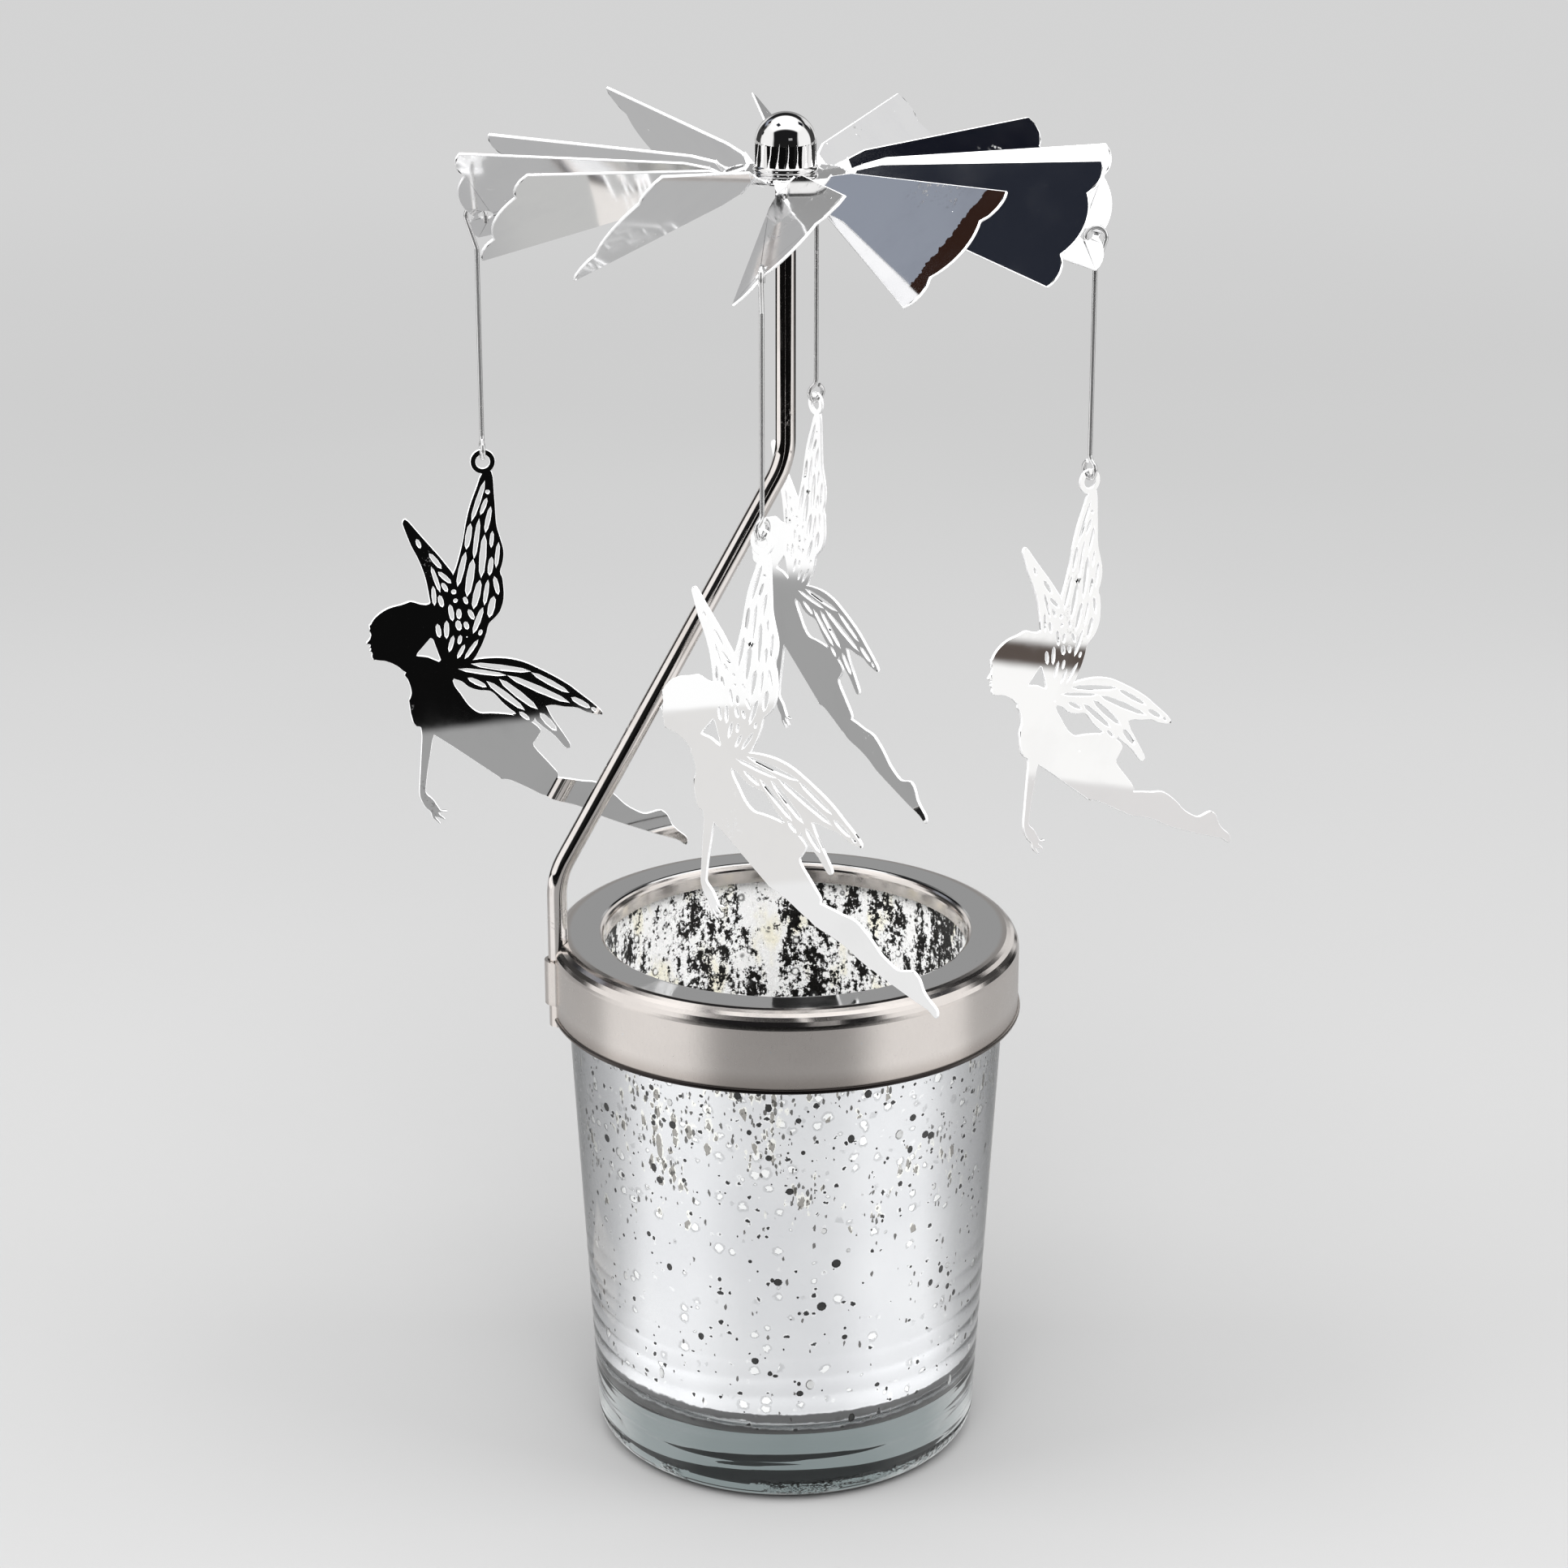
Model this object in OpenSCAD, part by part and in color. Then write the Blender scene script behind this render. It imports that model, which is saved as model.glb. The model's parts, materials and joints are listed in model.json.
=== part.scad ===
/* [Cup] */
// Outer radius of the glass cup where it stands
cup_foot_r = 29.75; // [24:0.05:31]
// Widening of the cup wall per millimetre of height
cup_flare = 0.0545; // [0:0.0005:0.08]
// Height of the straight band at the rim, under the collar
cup_band_h = 13; // [2:0.5:40]
// Full height of the glass cup
cup_h = 83; // [80:0.5:110]
// Thickness of the glass wall at the rim
cup_wall = 4.3; // [2.5:0.1:4.6]
// Thickness of the solid glass foot
cup_floor = 10; // [4:0.5:18]
// Taper of the inner wall, rim to floor
cup_draft = 2.6; // [0.5:0.1:4]
// Radius of the rounded heel
cup_heel_r = 4; // [0.5:0.1:6]
// Radius of the rounded lip
cup_lip_r = 1.4; // [0.5:0.1:2]
// Radius of the hollow between inner wall and floor
cup_well_r = 4; // [1:0.5:6]

/* [Collar] */
// Outer radius of the collar wall
collar_r = 35.9; // [35.6:0.1:37]
// Thickness of the collar sheet
collar_t = 0.5; // [0.3:0.05:1]
// Height of the collar from its edge to its top face
collar_h = 12.5; // [9:0.1:20]
// Radius of the round opening over the candle
collar_open_r = 27.85; // [20:0.05:28.2]
// Radius of the shoulder bend
collar_bend_r = 2.6; // [0.8:0.1:3.2]
// Radius of the bend into the lip
lip_bend_r = 1.3; // [0.8:0.1:3]
// Depth of the lip that turns down into the cup
collar_lip_h = 3; // [1:0.1:6]
// Radius of the rolled bead along the lower edge
collar_bead_r = 0.35; // [0.3:0.05:0.6]

/* [Pole socket] */
// Direction of the pole socket around the collar, in degrees
socket_az = 190; // [0:1:359]
// Height of the pressed strap that holds the pole
strap_h = 7; // [4:0.1:9]
// Distance from the collar top down to the strap
strap_drop = 3; // [2:0.1:4]
// Radius of the bend from the strap into the wall
strap_bend_r = 1.2; // [0.4:0.1:2]
// Width of the slot under the strap
slot_w = 4.4; // [3.4:0.1:6]

/* [Pole] */
// Diameter of the pole rod
pole_d = 3; // [2:0.1:3.6]
// Length of the pole below the top of the collar
pole_drop = 13.7; // [11.5:0.1:20]
// Height of the lower corner of the pole above the collar
pole_knee_rise = 10.5; // [6:0.5:26]
// Distance between the heights of the two corners of the pole
pole_slope_h = 63; // [40:0.5:76]
// Radius of both bends, at the middle of the rod
pole_bend_r = 12; // [6:0.5:25]
// Length of the ground needle point
needle_l = 7; // [4:0.5:12]
// Radius of the blunted needle tip
needle_tip_r = 0.12; // [0.05:0.01:0.3]

/* [Fan] */
// Height of the fan hub above the collar
fan_rise = 116; // [102:0.5:146]
// Thickness of the fan sheet
fan_t = 0.4; // [0.2:0.05:0.8]
// Number of blades
blade_count = 12; // [8:4:12]
// Radius of the flat hub
hub_r = 8.6; // [7.8:0.1:10]
// Length of the twisted neck of each blade
neck_l = 2.2; // [1.5:0.1:4]
// Width of the neck
neck_w = 3.4; // [2:0.1:4]
// Twist of the blades, in degrees
blade_twist = 45.5; // [30:0.5:50]
// How far each blade is bent past that twist by hand, in degrees
blade_twist_trim = [4, -0.5, 1.5, 4, 6, -2, -1.5, -3, 1, -0.5, -1.5, 2];
// Droop of the blades below the hub, in degrees
blade_droop = 5; // [4:0.5:7]
// How far each blade is bent past that droop by hand, in degrees
blade_droop_trim = [2.5, 1, -1, 0, -3, 1.5, 0, -1.5, -3.5, -0.5, 1, 0.5];
// How far each blade is turned from its even place, in degrees
blade_turn_trim = [-0.5, -0.5, -0.5, -2, -2, 0, 0.5, 2, 0.5, 0.5, 0, 1.5];
// Radius of the blade corners from the fan axis
blade_r = 45.7; // [44:0.1:60]
// Width of a blade between its outer corners
blade_w = 21.2; // [16:0.1:22]
// Width of the middle lobe at the blade's outer edge
lobe_w = 10.2; // [8:0.1:12]
// How far the middle lobe stands out
lobe_rise = 1.6; // [0.5:0.1:2]
// How far the two side lobes stand out
side_lobe_rise = 1; // [0.3:0.1:1.5]

/* [Hub fittings] */
// Outer radius of the dome cap
dome_r = 4.45; // [4.3:0.05:5]
// Thickness of the dome sheet
dome_t = 0.45; // [0.3:0.05:0.8]
// Full height of the dome cap above the hub
dome_h = 8.6; // [8.4:0.1:10]
// How far the bead at the foot of the dome stands out
dome_bead = 0.3; // [0.1:0.05:0.8]
// Height of that bead
dome_bead_h = 1.1; // [0.4:0.05:2]
// Radius of the flange of the hub bush under the fan
bush_flange_r = 4.08; // [3.8:0.02:5]
// Thickness of that flange
bush_flange_t = 1.1; // [0.5:0.05:2]
// Outer radius of the tube of the hub bush
bush_r = 3.3; // [2.9:0.05:3.6]
// Bore radius of the hub bush
bush_bore_r = 2.4; // [2.1:0.05:2.7]
// Length of the bush tube above the hub
bush_rise = 2.4; // [1.5:0.1:3]
// Height of the pivot insert above the hub
pivot_h = 6.6; // [5.5:0.1:7]

/* [Hangers] */
// Distance of the hook hole from the corner radius of its blade
hook_hole_inset = 1.8; // [1.5:0.1:2.7]
// Distance of the hook hole from the middle line of its blade, towards the low edge
hook_hole_side = 4.9; // [4.5:0.1:5.2]
// Radius of the hook hole
hook_hole_r = 0.95; // [0.9:0.05:1.1]
// Diameter of the hanger wire
wire_d = 0.7; // [0.5:0.05:0.75]
// Inner radius of the hook over the blade
hook_r = 1.1; // [1.05:0.05:1.3]
// Length of the free end of the hook
hook_tail = 1; // [0.6:0.1:2]
// Slant of the wire below the hook, in degrees
hook_slant = 18; // [12:1:30]
// Length from the hook centre to the centre of the lower eye
hanger_l = 34.4; // [25:0.1:50]
// How much longer than that each hanger came out when it was bent by hand
hanger_trim = [0.3, 0, -0.2, 0.8];
// Inner radius of the lower eye
eye_r = 0.95; // [0.9:0.05:1.4]
// Opening angle of the lower eye, in degrees
eye_gap = 55; // [40:5:90]
// Radius of the bends that lead into the hook and the eye
wire_bend_r = 1.2; // [0.8:0.1:3]

/* [Fairy charms] */
// Width of the sheet blank that each fairy is cut from
blank_w = 50; // [35:1:52]
// Thickness of the charm sheet
charm_t = 0.5; // [0.3:0.05:0.8]
// Outer radius of the charm ring
ring_r = 1.9; // [1.6:0.05:2.6]
// Hole radius of the charm ring
ring_hole_r = 1.0; // [0.9:0.05:1.2]
// Turn of each charm at rest, counted from the picture plane, in degrees
charm_yaw = [10.5, -37.4, 34.6, -54.6];
// Lean of the charm in its own plane, in degrees
charm_lean = 0.5; // [-4:0.1:4]

/* [Hidden] */
round_fn = 96;
wire_fn = 24;
// Number of hanging charms, one for each named hanger
charm_count = 4;
// One overrun for every cut that leaves a face
over = 1;
// Play between pieces that are pushed together for good
push_play = 0.02;
// Play all round where a hand pushes one piece into another
slip_play = 0.1;
// Play between the pole and the rim of the glass
rim_play = 0.15;
// Play under the needle tip
needle_play = 0.05;
// Play between a wire and the sheet that it hangs from
wire_play = 0.15;
// How far the faces of a blade's neck lie inside those of the sheet that it joins
neck_inset = 0.02;
// Thickness of a neck at its buried ends, as a share of its full thickness
end_slim_share = 0.5;
// Straight steps in a rounded corner of a turned outline
corner_steps = 6;
// Straight steps between two points of a drawn outline
curve_steps = 3;
// Straight steps in a short bend of a wire
bend_steps = 3;
// Sides of the swept pole and of the swept wires
rod_sides = 16;
wire_sides = 12;

cup_flare_h = cup_h - cup_band_h;
cup_rim_r = cup_foot_r + cup_flare * cup_flare_h;
cup_mouth_r = cup_rim_r - cup_wall;
cup_floor_r = cup_mouth_r - cup_draft;
collar_top_z = cup_h + collar_t;
collar_edge_z = collar_top_z - collar_h;
collar_inner_r = collar_r - collar_t;
fan_z = collar_top_z + fan_rise;
pole_foot_z = collar_top_z - pole_drop;
pole_knee_z = collar_top_z + pole_knee_rise;
pole_neck_z = pole_knee_z + pole_slope_h;
pole_r = pole_d / 2;
channel_r = pole_r + slip_play;
socket_r = cup_rim_r + rim_play + pole_r;
strap_r = channel_r + collar_t;
strap_top_z = collar_top_z - strap_drop;
strap_foot_z = strap_top_z - strap_h;
pole_lean = atan(socket_r / (pole_neck_z - pole_knee_z));
bend_reach = pole_bend_r * tan(pole_lean / 2);
pivot_apex_z = fan_z + pivot_h - dome_t - needle_play;
needle_tip_z = pivot_apex_z - needle_play;
needle_foot_z = needle_tip_z - needle_l;
dome_inner_r = dome_r - dome_t;
dome_ball_z = fan_z + dome_h - dome_r;
blade_root_r = hub_r + neck_l;
hook_hole_along = blade_r - hook_hole_inset;
blade_edge_angle = asin(blade_w / 2 / blade_r);
wire_r = wire_d / 2;
hook_ring_r = hook_r + wire_r;
eye_ring_r = eye_r + wire_r;
eye_to_ring = eye_r + ring_hole_r - wire_play;
// Reach of the blade edge inside the hook, as a share of the hook radius
web_share = 0.6;

// Width of a vein cell near its two ends, as a share of its full width
cell_shoulder_share = 0.7;

// Bends of one blade
function twist_of(b) = blade_twist + blade_twist_trim[b];
function droop_of(b) = blade_droop + blade_droop_trim[b];
function turn_of(b) = b * 360 / blade_count + blade_turn_trim[b];

// A vector of the flat blade, bent and turned into its place around the fan
function bent(b, v) =
    let (twisted = [v[0], v[1] * cos(twist_of(b)), v[1] * sin(twist_of(b))],
         lowered = [twisted[0] * cos(droop_of(b)) + twisted[2] * sin(droop_of(b)), twisted[1],
                    twisted[2] * cos(droop_of(b)) - twisted[0] * sin(droop_of(b))])
    spun(lowered, turn_of(b));

// A vector turned around the fan axis
function spun(v, angle) = [v[0] * cos(angle) - v[1] * sin(angle),
                           v[0] * sin(angle) + v[1] * cos(angle), v[2]];

// A point of the blade's middle plane, from its place along and across the flat blade
function blade_point(b, along, across) =
    bent(b, [along - hub_r, across]) + spun([hub_r, 0, fan_z - fan_t / 2], turn_of(b));

// Blade that each charm hangs from, and the place of its hook hole
function charm_blade(index) = (index + charm_count / 2) % charm_count * blade_count / charm_count;
function hole_point(index) = blade_point(charm_blade(index), hook_hole_along, -hook_hole_side);
function hanger_azimuth(index) = atan2(hole_point(index)[1], hole_point(index)[0]);
function hanger_axis_r(index) = norm([hole_point(index)[0], hole_point(index)[1]]) + hook_ring_r;

// Height of the hook centre that seats the wire on the strip between hole and blade edge
function hook_z(index) =
    let (b = charm_blade(index),
         edge = blade_point(b, hook_hole_along + hook_ring_r, -hook_hole_side),
         seat = (wire_r + fan_t / 2 + wire_play) / cos(twist_of(b)))
    edge[2] + seat - hook_ring_r * sqrt(1 - web_share * web_share);
function eye_z(index) = hook_z(index) - hanger_l - hanger_trim[index];
function ring_z(index) = eye_z(index) - eye_to_ring;

// Even steps from one value to another
function spread(from, to, steps, first = 0) = [for (i = [first:steps]) from + (to - from) * i / steps];

// Points of an arc around a centre, from one angle to another
function arc(centre, radius, from, to, steps = corner_steps) =
    [for (a = spread(from, to, steps)) centre + radius * [cos(a), sin(a)]];

// One point of a smooth curve through p1 and p2, with p0 and p3 beside them
function curve_point(p0, p1, p2, p3, t) =
    ((2 * p1) + (p2 - p0) * t + (2 * p0 - 5 * p1 + 4 * p2 - p3) * t * t
     + (3 * p1 - p0 - 3 * p2 + p3) * t * t * t) / 2;

// Closed smooth outline through all points
function smooth_loop(pts, steps = curve_steps) =
    let (n = len(pts))
    [for (i = [0:n - 1], s = [0:steps - 1])
        curve_point(pts[(i + n - 1) % n], pts[i], pts[(i + 1) % n], pts[(i + 2) % n], s / steps)];

module glass_cup() {
    lip_out = [cup_rim_r - cup_lip_r, cup_h - cup_lip_r];
    lip_in = [cup_mouth_r + cup_lip_r, cup_h - cup_lip_r];
    heel = [cup_foot_r + cup_flare * cup_heel_r - cup_heel_r, cup_heel_r];
    well = [cup_floor_r - cup_well_r, cup_floor + cup_well_r];
    color("lightsteelblue", 0.6)
    rotate_extrude($fn = round_fn)
    polygon(concat(
        [[0, 0]],
        arc(heel, cup_heel_r, -90, 0),
        [[cup_rim_r, cup_flare_h]],
        arc(lip_out, cup_lip_r, 0, 90),
        arc(lip_in, cup_lip_r, 90, 180),
        arc(well, cup_well_r, 0, -90),
        [[0, cup_floor]]));
}

// Turned part of the collar: top ring, shoulder, wall, lip and bead
module collar_sheet() {
    bend_in_r = max(collar_bend_r - collar_t, collar_t / 2);
    lip_in_r = max(lip_bend_r - collar_t, collar_t / 2);
    under_z = collar_top_z - collar_t;
    shoulder = [collar_r - collar_bend_r, collar_top_z - collar_bend_r];
    lip_bend = [collar_open_r + lip_bend_r, collar_top_z - lip_bend_r];
    lip_z = collar_top_z - collar_lip_h;
    rotate_extrude($fn = round_fn)
    union() {
        polygon(concat(
            [[collar_open_r, lip_z]],
            arc(lip_bend, lip_bend_r, 180, 90),
            arc(shoulder, collar_bend_r, 90, 0),
            [[collar_r, collar_edge_z + collar_bead_r], [collar_inner_r, collar_edge_z + collar_bead_r]],
            arc([collar_inner_r - bend_in_r, under_z - bend_in_r], bend_in_r, 0, 90),
            arc([collar_open_r + collar_t + lip_in_r, under_z - lip_in_r], lip_in_r, 90, 180),
            [[collar_open_r + collar_t, lip_z]]));
        translate([collar_r, collar_edge_z + collar_bead_r])
        circle(r = collar_bead_r, $fn = wire_fn);
    }
}

// Plan of the pressed strap with its bends into the wall
module strap_plan() {
    reach = strap_r + strap_bend_r;
    ring = collar_r + strap_bend_r;
    bend_x = (ring * ring - reach * reach + socket_r * socket_r) / (2 * socket_r);
    bend_y = sqrt(ring * ring - bend_x * bend_x);
    translate([socket_r, 0])
    circle(r = strap_r, $fn = round_fn);
    for (side = [-1, 1])
        difference() {
            polygon([[socket_r, 0], [bend_x, side * bend_y],
                     [bend_x, side * bend_y] * (collar_inner_r + collar_t / 2) / ring]);
            translate([bend_x, side * bend_y])
            circle(r = strap_bend_r, $fn = round_fn);
        }
}

module collar() {
    color("silver")
    difference() {
        union() {
            collar_sheet();
            rotate([0, 0, socket_az])
            difference() {
                translate([0, 0, strap_foot_z])
                linear_extrude(height = strap_h)
                strap_plan();
                translate([0, 0, strap_foot_z - over])
                cylinder(r = collar_inner_r, h = strap_h + 2 * over, $fn = round_fn);
            }
        }
        rotate([0, 0, socket_az]) {
            translate([socket_r, 0, collar_edge_z - over])
            cylinder(r = channel_r, h = collar_h + 2 * over, $fn = round_fn);
            translate([socket_r, -channel_r, strap_top_z])
            cube([channel_r + strap_r, 2 * channel_r, strap_drop + over]);
            translate([collar_inner_r - channel_r, -slot_w / 2, collar_edge_z - over])
            cube([2 * strap_r, slot_w, strap_foot_z - collar_edge_z + over]);
        }
    }
}

// One round ring of a swept bar: its centre, its two directions and its radius
function round_ring(centre, u, v, radius, sides, offset = 0) =
    [for (k = [0:sides - 1])
        centre + radius * (u * cos(offset + k * 360 / sides) + v * sin(offset + k * 360 / sides))];

// Closed solid through rings that all have the same number of points
module swept_bar(rings) {
    sides = len(rings[0]);
    last = len(rings) - 1;
    walls = [for (j = [0:last - 1], k = [0:sides - 1], half = [0, 1])
        let (next = (k + 1) % sides, low = j * sides, high = low + sides)
        half == 0 ? [low + k, high + next, low + next] : [low + k, high + k, high + next]];
    foot = [for (k = [1:sides - 2]) [0, k, k + 1]];
    top = [for (k = [1:sides - 2]) [last * sides, last * sides + k + 1, last * sides + k]];
    polyhedron(points = [for (ring = rings) each ring], faces = concat(foot, walls, top));
}

// One ring of the pole in the plane of its bends
function pole_ring(x, z, lean, radius) =
    round_ring([x, 0, z], [cos(lean), 0, sin(lean)], [0, 1, 0], radius, rod_sides);

// Bent rod with a needle point: drawn in the plane of its bends, then turned to the socket
module pole() {
    bend_out = [socket_r - pole_bend_r, pole_knee_z - bend_reach];
    bend_in = [pole_bend_r, pole_neck_z + bend_reach];
    color("silver")
    rotate([0, 0, socket_az])
    swept_bar(concat(
        [pole_ring(socket_r, pole_foot_z, 0, pole_r)],
        [for (lean = spread(0, pole_lean, corner_steps))
            pole_ring(bend_out[0] + pole_bend_r * cos(lean), bend_out[1] + pole_bend_r * sin(lean),
                      lean, pole_r)],
        [for (lean = spread(pole_lean, 0, corner_steps))
            pole_ring(bend_in[0] - pole_bend_r * cos(lean), bend_in[1] - pole_bend_r * sin(lean),
                      lean, pole_r)],
        [pole_ring(0, needle_foot_z, 0, pole_r), pole_ring(0, needle_tip_z, 0, needle_tip_r)]));
}

// Outline of one flat blade, root on the axis side, along +X
module blade_plan() {
    tip = blade_r - blade_root_r;
    half_w = blade_w / 2;
    side_w = (blade_w - lobe_w) / 2;
    mid_r = (pow(lobe_w / 2, 2) + pow(lobe_rise, 2)) / (2 * lobe_rise);
    side_r = (pow(side_w / 2, 2) + pow(side_lobe_rise, 2)) / (2 * side_lobe_rise);
    mid_a = asin(lobe_w / 2 / mid_r);
    side_a = asin(side_w / 2 / side_r);
    side_y = (lobe_w + side_w) / 2;
    flare_x = neck_w;
    flare_y = (blade_root_r + flare_x) * tan(blade_edge_angle);
    polygon(concat(
        [[0, neck_w / 2], [0, -neck_w / 2], [flare_x, -flare_y]],
        arc([tip + side_lobe_rise - side_r, -side_y], side_r, -side_a, side_a),
        arc([tip + lobe_rise - mid_r, 0], mid_r, -mid_a, mid_a, 2 * corner_steps),
        arc([tip + side_lobe_rise - side_r, side_y], side_r, -side_a, side_a),
        [[flare_x, flare_y]]));
}

// One ring of a twisted neck: a slim rectangle across the blade's long direction
function neck_ring(x, twist, slim = 1) =
    let (half_w = neck_w / 2 - neck_inset, half_t = slim * (fan_t / 2 - neck_inset),
         wide = half_w * [0, cos(twist), sin(twist)], thick = half_t * [0, -sin(twist), cos(twist)])
    [[x, 0, 0] - wide - thick, [x, 0, 0] + wide - thick, [x, 0, 0] + wide + thick, [x, 0, 0] - wide + thick];

// One blade with its twisted neck, bent from the hub
module blade(b) {
    twist_l = neck_l - fan_t / 2;
    rotate([0, 0, turn_of(b)])
    translate([hub_r, 0, fan_z - fan_t / 2])
    rotate([0, droop_of(b), 0]) {
        swept_bar(concat(
            [neck_ring(-fan_t, 0, end_slim_share)],
            [for (s = spread(0, 1, corner_steps)) neck_ring(fan_t / 2 + twist_l * s, twist_of(b) * s)],
            [neck_ring(neck_l + fan_t, twist_of(b), end_slim_share)]));
        translate([neck_l, 0, 0])
        rotate([twist_of(b), 0, 0])
        difference() {
            translate([0, 0, -fan_t / 2])
            linear_extrude(height = fan_t)
            blade_plan();
            if (b % (blade_count / charm_count) == 0)
                translate([hook_hole_along - blade_root_r, -hook_hole_side, -over])
                cylinder(r = hook_hole_r, h = 2 * over, $fn = wire_fn);
        }
    }
}

module fan() {
    color("lightgray")
    difference() {
        union() {
            translate([0, 0, fan_z - fan_t])
            cylinder(r = hub_r + fan_t / 2, h = fan_t, $fn = round_fn);
            for (b = [0:blade_count - 1])
                blade(b);
        }
        translate([0, 0, fan_z - fan_t - over])
        cylinder(r = bush_r + push_play, h = fan_t + 2 * over, $fn = round_fn);
    }
}

module dome_cap() {
    bead_r = dome_bead_h / 2;
    color("gainsboro")
    difference() {
        union() {
            translate([0, 0, dome_ball_z])
            sphere(r = dome_r, $fn = round_fn);
            translate([0, 0, fan_z])
            cylinder(r = dome_r, h = dome_ball_z - fan_z, $fn = round_fn);
            translate([0, 0, fan_z + bead_r])
            rotate_extrude($fn = round_fn)
            translate([dome_r + dome_bead - bead_r, 0])
            circle(r = bead_r, $fn = wire_fn);
        }
        translate([0, 0, dome_ball_z])
        sphere(r = dome_inner_r, $fn = round_fn);
        translate([0, 0, fan_z - over])
        cylinder(r = dome_inner_r, h = dome_ball_z - fan_z + over, $fn = round_fn);
        translate([0, 0, fan_z - 2 * dome_r])
        cylinder(r = 2 * dome_r, h = 2 * dome_r, $fn = round_fn);
    }
}

// Turned insert in the dome, with the hollow cone that runs on the needle
module pivot_cup() {
    cone_h = pivot_apex_z - fan_z - bush_rise;
    color("darkgoldenrod")
    difference() {
        intersection() {
            translate([0, 0, fan_z])
            cylinder(r = dome_inner_r - push_play, h = pivot_h, $fn = round_fn);
            union() {
                translate([0, 0, dome_ball_z])
                sphere(r = dome_inner_r - push_play, $fn = round_fn);
                translate([0, 0, fan_z])
                cylinder(r = dome_inner_r - push_play, h = dome_ball_z - fan_z, $fn = round_fn);
            }
        }
        translate([0, 0, fan_z - over])
        cylinder(r = bush_r + push_play, h = bush_rise + over, $fn = round_fn);
        translate([0, 0, fan_z + bush_rise])
        cylinder(r1 = bush_bore_r, r2 = needle_tip_r + needle_play, h = cone_h, $fn = round_fn);
    }
}

module hub_bush() {
    flange_z = fan_z - fan_t - bush_flange_t;
    color("gainsboro")
    difference() {
        union() {
            translate([0, 0, flange_z])
            cylinder(r = bush_flange_r, h = bush_flange_t, $fn = round_fn);
            translate([0, 0, flange_z])
            cylinder(r = bush_r, h = bush_flange_t + fan_t + bush_rise, $fn = round_fn);
        }
        translate([0, 0, flange_z - over])
        cylinder(r = bush_bore_r, h = bush_flange_t + fan_t + bush_rise + 2 * over, $fn = round_fn);
    }
}

// One ring of a hanger: place and heading in a plane that is turned around the wire
function wire_ring(turn, x, z, heading) =
    let (e = [cos(turn), sin(turn), 0], n = [-sin(turn), cos(turn), 0],
         t = e * sin(heading) + [0, 0, cos(heading)], pitch = 360 / wire_sides)
    round_ring(e * x + [0, 0, z], cross(n, t), n, wire_r, wire_sides, pitch * round(turn / pitch));

// Hanger wire: free end, hook, slant, straight run and lower eye
module hanger(index) {
    az = hanger_azimuth(index);
    top = hook_z(index);
    low = eye_z(index);
    lead_x = wire_bend_r * (1 - cos(hook_slant));
    slant_x = hook_ring_r * cos(hook_slant);
    slant_z = top - hook_ring_r * sin(hook_slant) - (slant_x - lead_x) / tan(hook_slant);
    lead_z = slant_z - wire_bend_r * sin(hook_slant);
    neck_z = sqrt(eye_ring_r * eye_ring_r + 2 * wire_bend_r * eye_ring_r);
    eye_from = atan2(neck_z, -wire_bend_r);
    eye_turn = charm_yaw[index] + 90 - az;
    color("gray")
    rotate([0, 0, az])
    translate([hanger_axis_r(index), 0, 0])
    swept_bar(concat(
        [wire_ring(0, -hook_ring_r, top - hook_tail, 0)],
        [for (a = spread(180, -hook_slant, 2 * corner_steps))
            wire_ring(0, hook_ring_r * cos(a), top + hook_ring_r * sin(a), 180 - a)],
        [for (a = spread(hook_slant, 0, bend_steps))
            wire_ring(0, wire_bend_r * (1 - cos(a)), lead_z + wire_bend_r * sin(a), 180 + a)],
        [for (a = spread(0, 180 - eye_from, bend_steps))
            wire_ring(eye_turn, -wire_bend_r * (1 - cos(a)), low + neck_z - wire_bend_r * sin(a), 180 + a)],
        [for (a = spread(eye_from, eye_from + 360 - eye_gap, 3 * corner_steps, 1))
            wire_ring(eye_turn, eye_ring_r * cos(a), low + eye_ring_r * sin(a), -a)]));
}

// Places on a fairy, as shares of the blank width from the centre of its ring:
// x runs towards the toes, y runs up
wing_tall_shares = [
    [-0.004, -0.034], [-0.024, -0.080], [-0.044, -0.130], [-0.058, -0.180], [-0.068, -0.230],
    [-0.078, -0.270], [-0.092, -0.316], [-0.106, -0.350], [-0.130, -0.420], [-0.120, -0.560],
    [-0.080, -0.630], [-0.046, -0.608], [-0.032, -0.586], [-0.018, -0.560], [-0.006, -0.530],
    [0.002, -0.502], [0.018, -0.486], [0.036, -0.466], [0.048, -0.434], [0.051, -0.400],
    [0.048, -0.360], [0.042, -0.340], [0.050, -0.314], [0.054, -0.290], [0.053, -0.266],
    [0.044, -0.230], [0.036, -0.196], [0.034, -0.160], [0.032, -0.100], [0.026, -0.030]];
wing_small_shares = [
    [-0.238, -0.162], [-0.247, -0.174], [-0.240, -0.200], [-0.224, -0.246], [-0.208, -0.280],
    [-0.196, -0.312], [-0.186, -0.346], [-0.180, -0.380], [-0.176, -0.410], [-0.170, -0.450],
    [-0.140, -0.600], [-0.080, -0.600], [-0.080, -0.420], [-0.098, -0.344], [-0.116, -0.314],
    [-0.140, -0.280], [-0.170, -0.242], [-0.200, -0.204], [-0.226, -0.170]];
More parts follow.
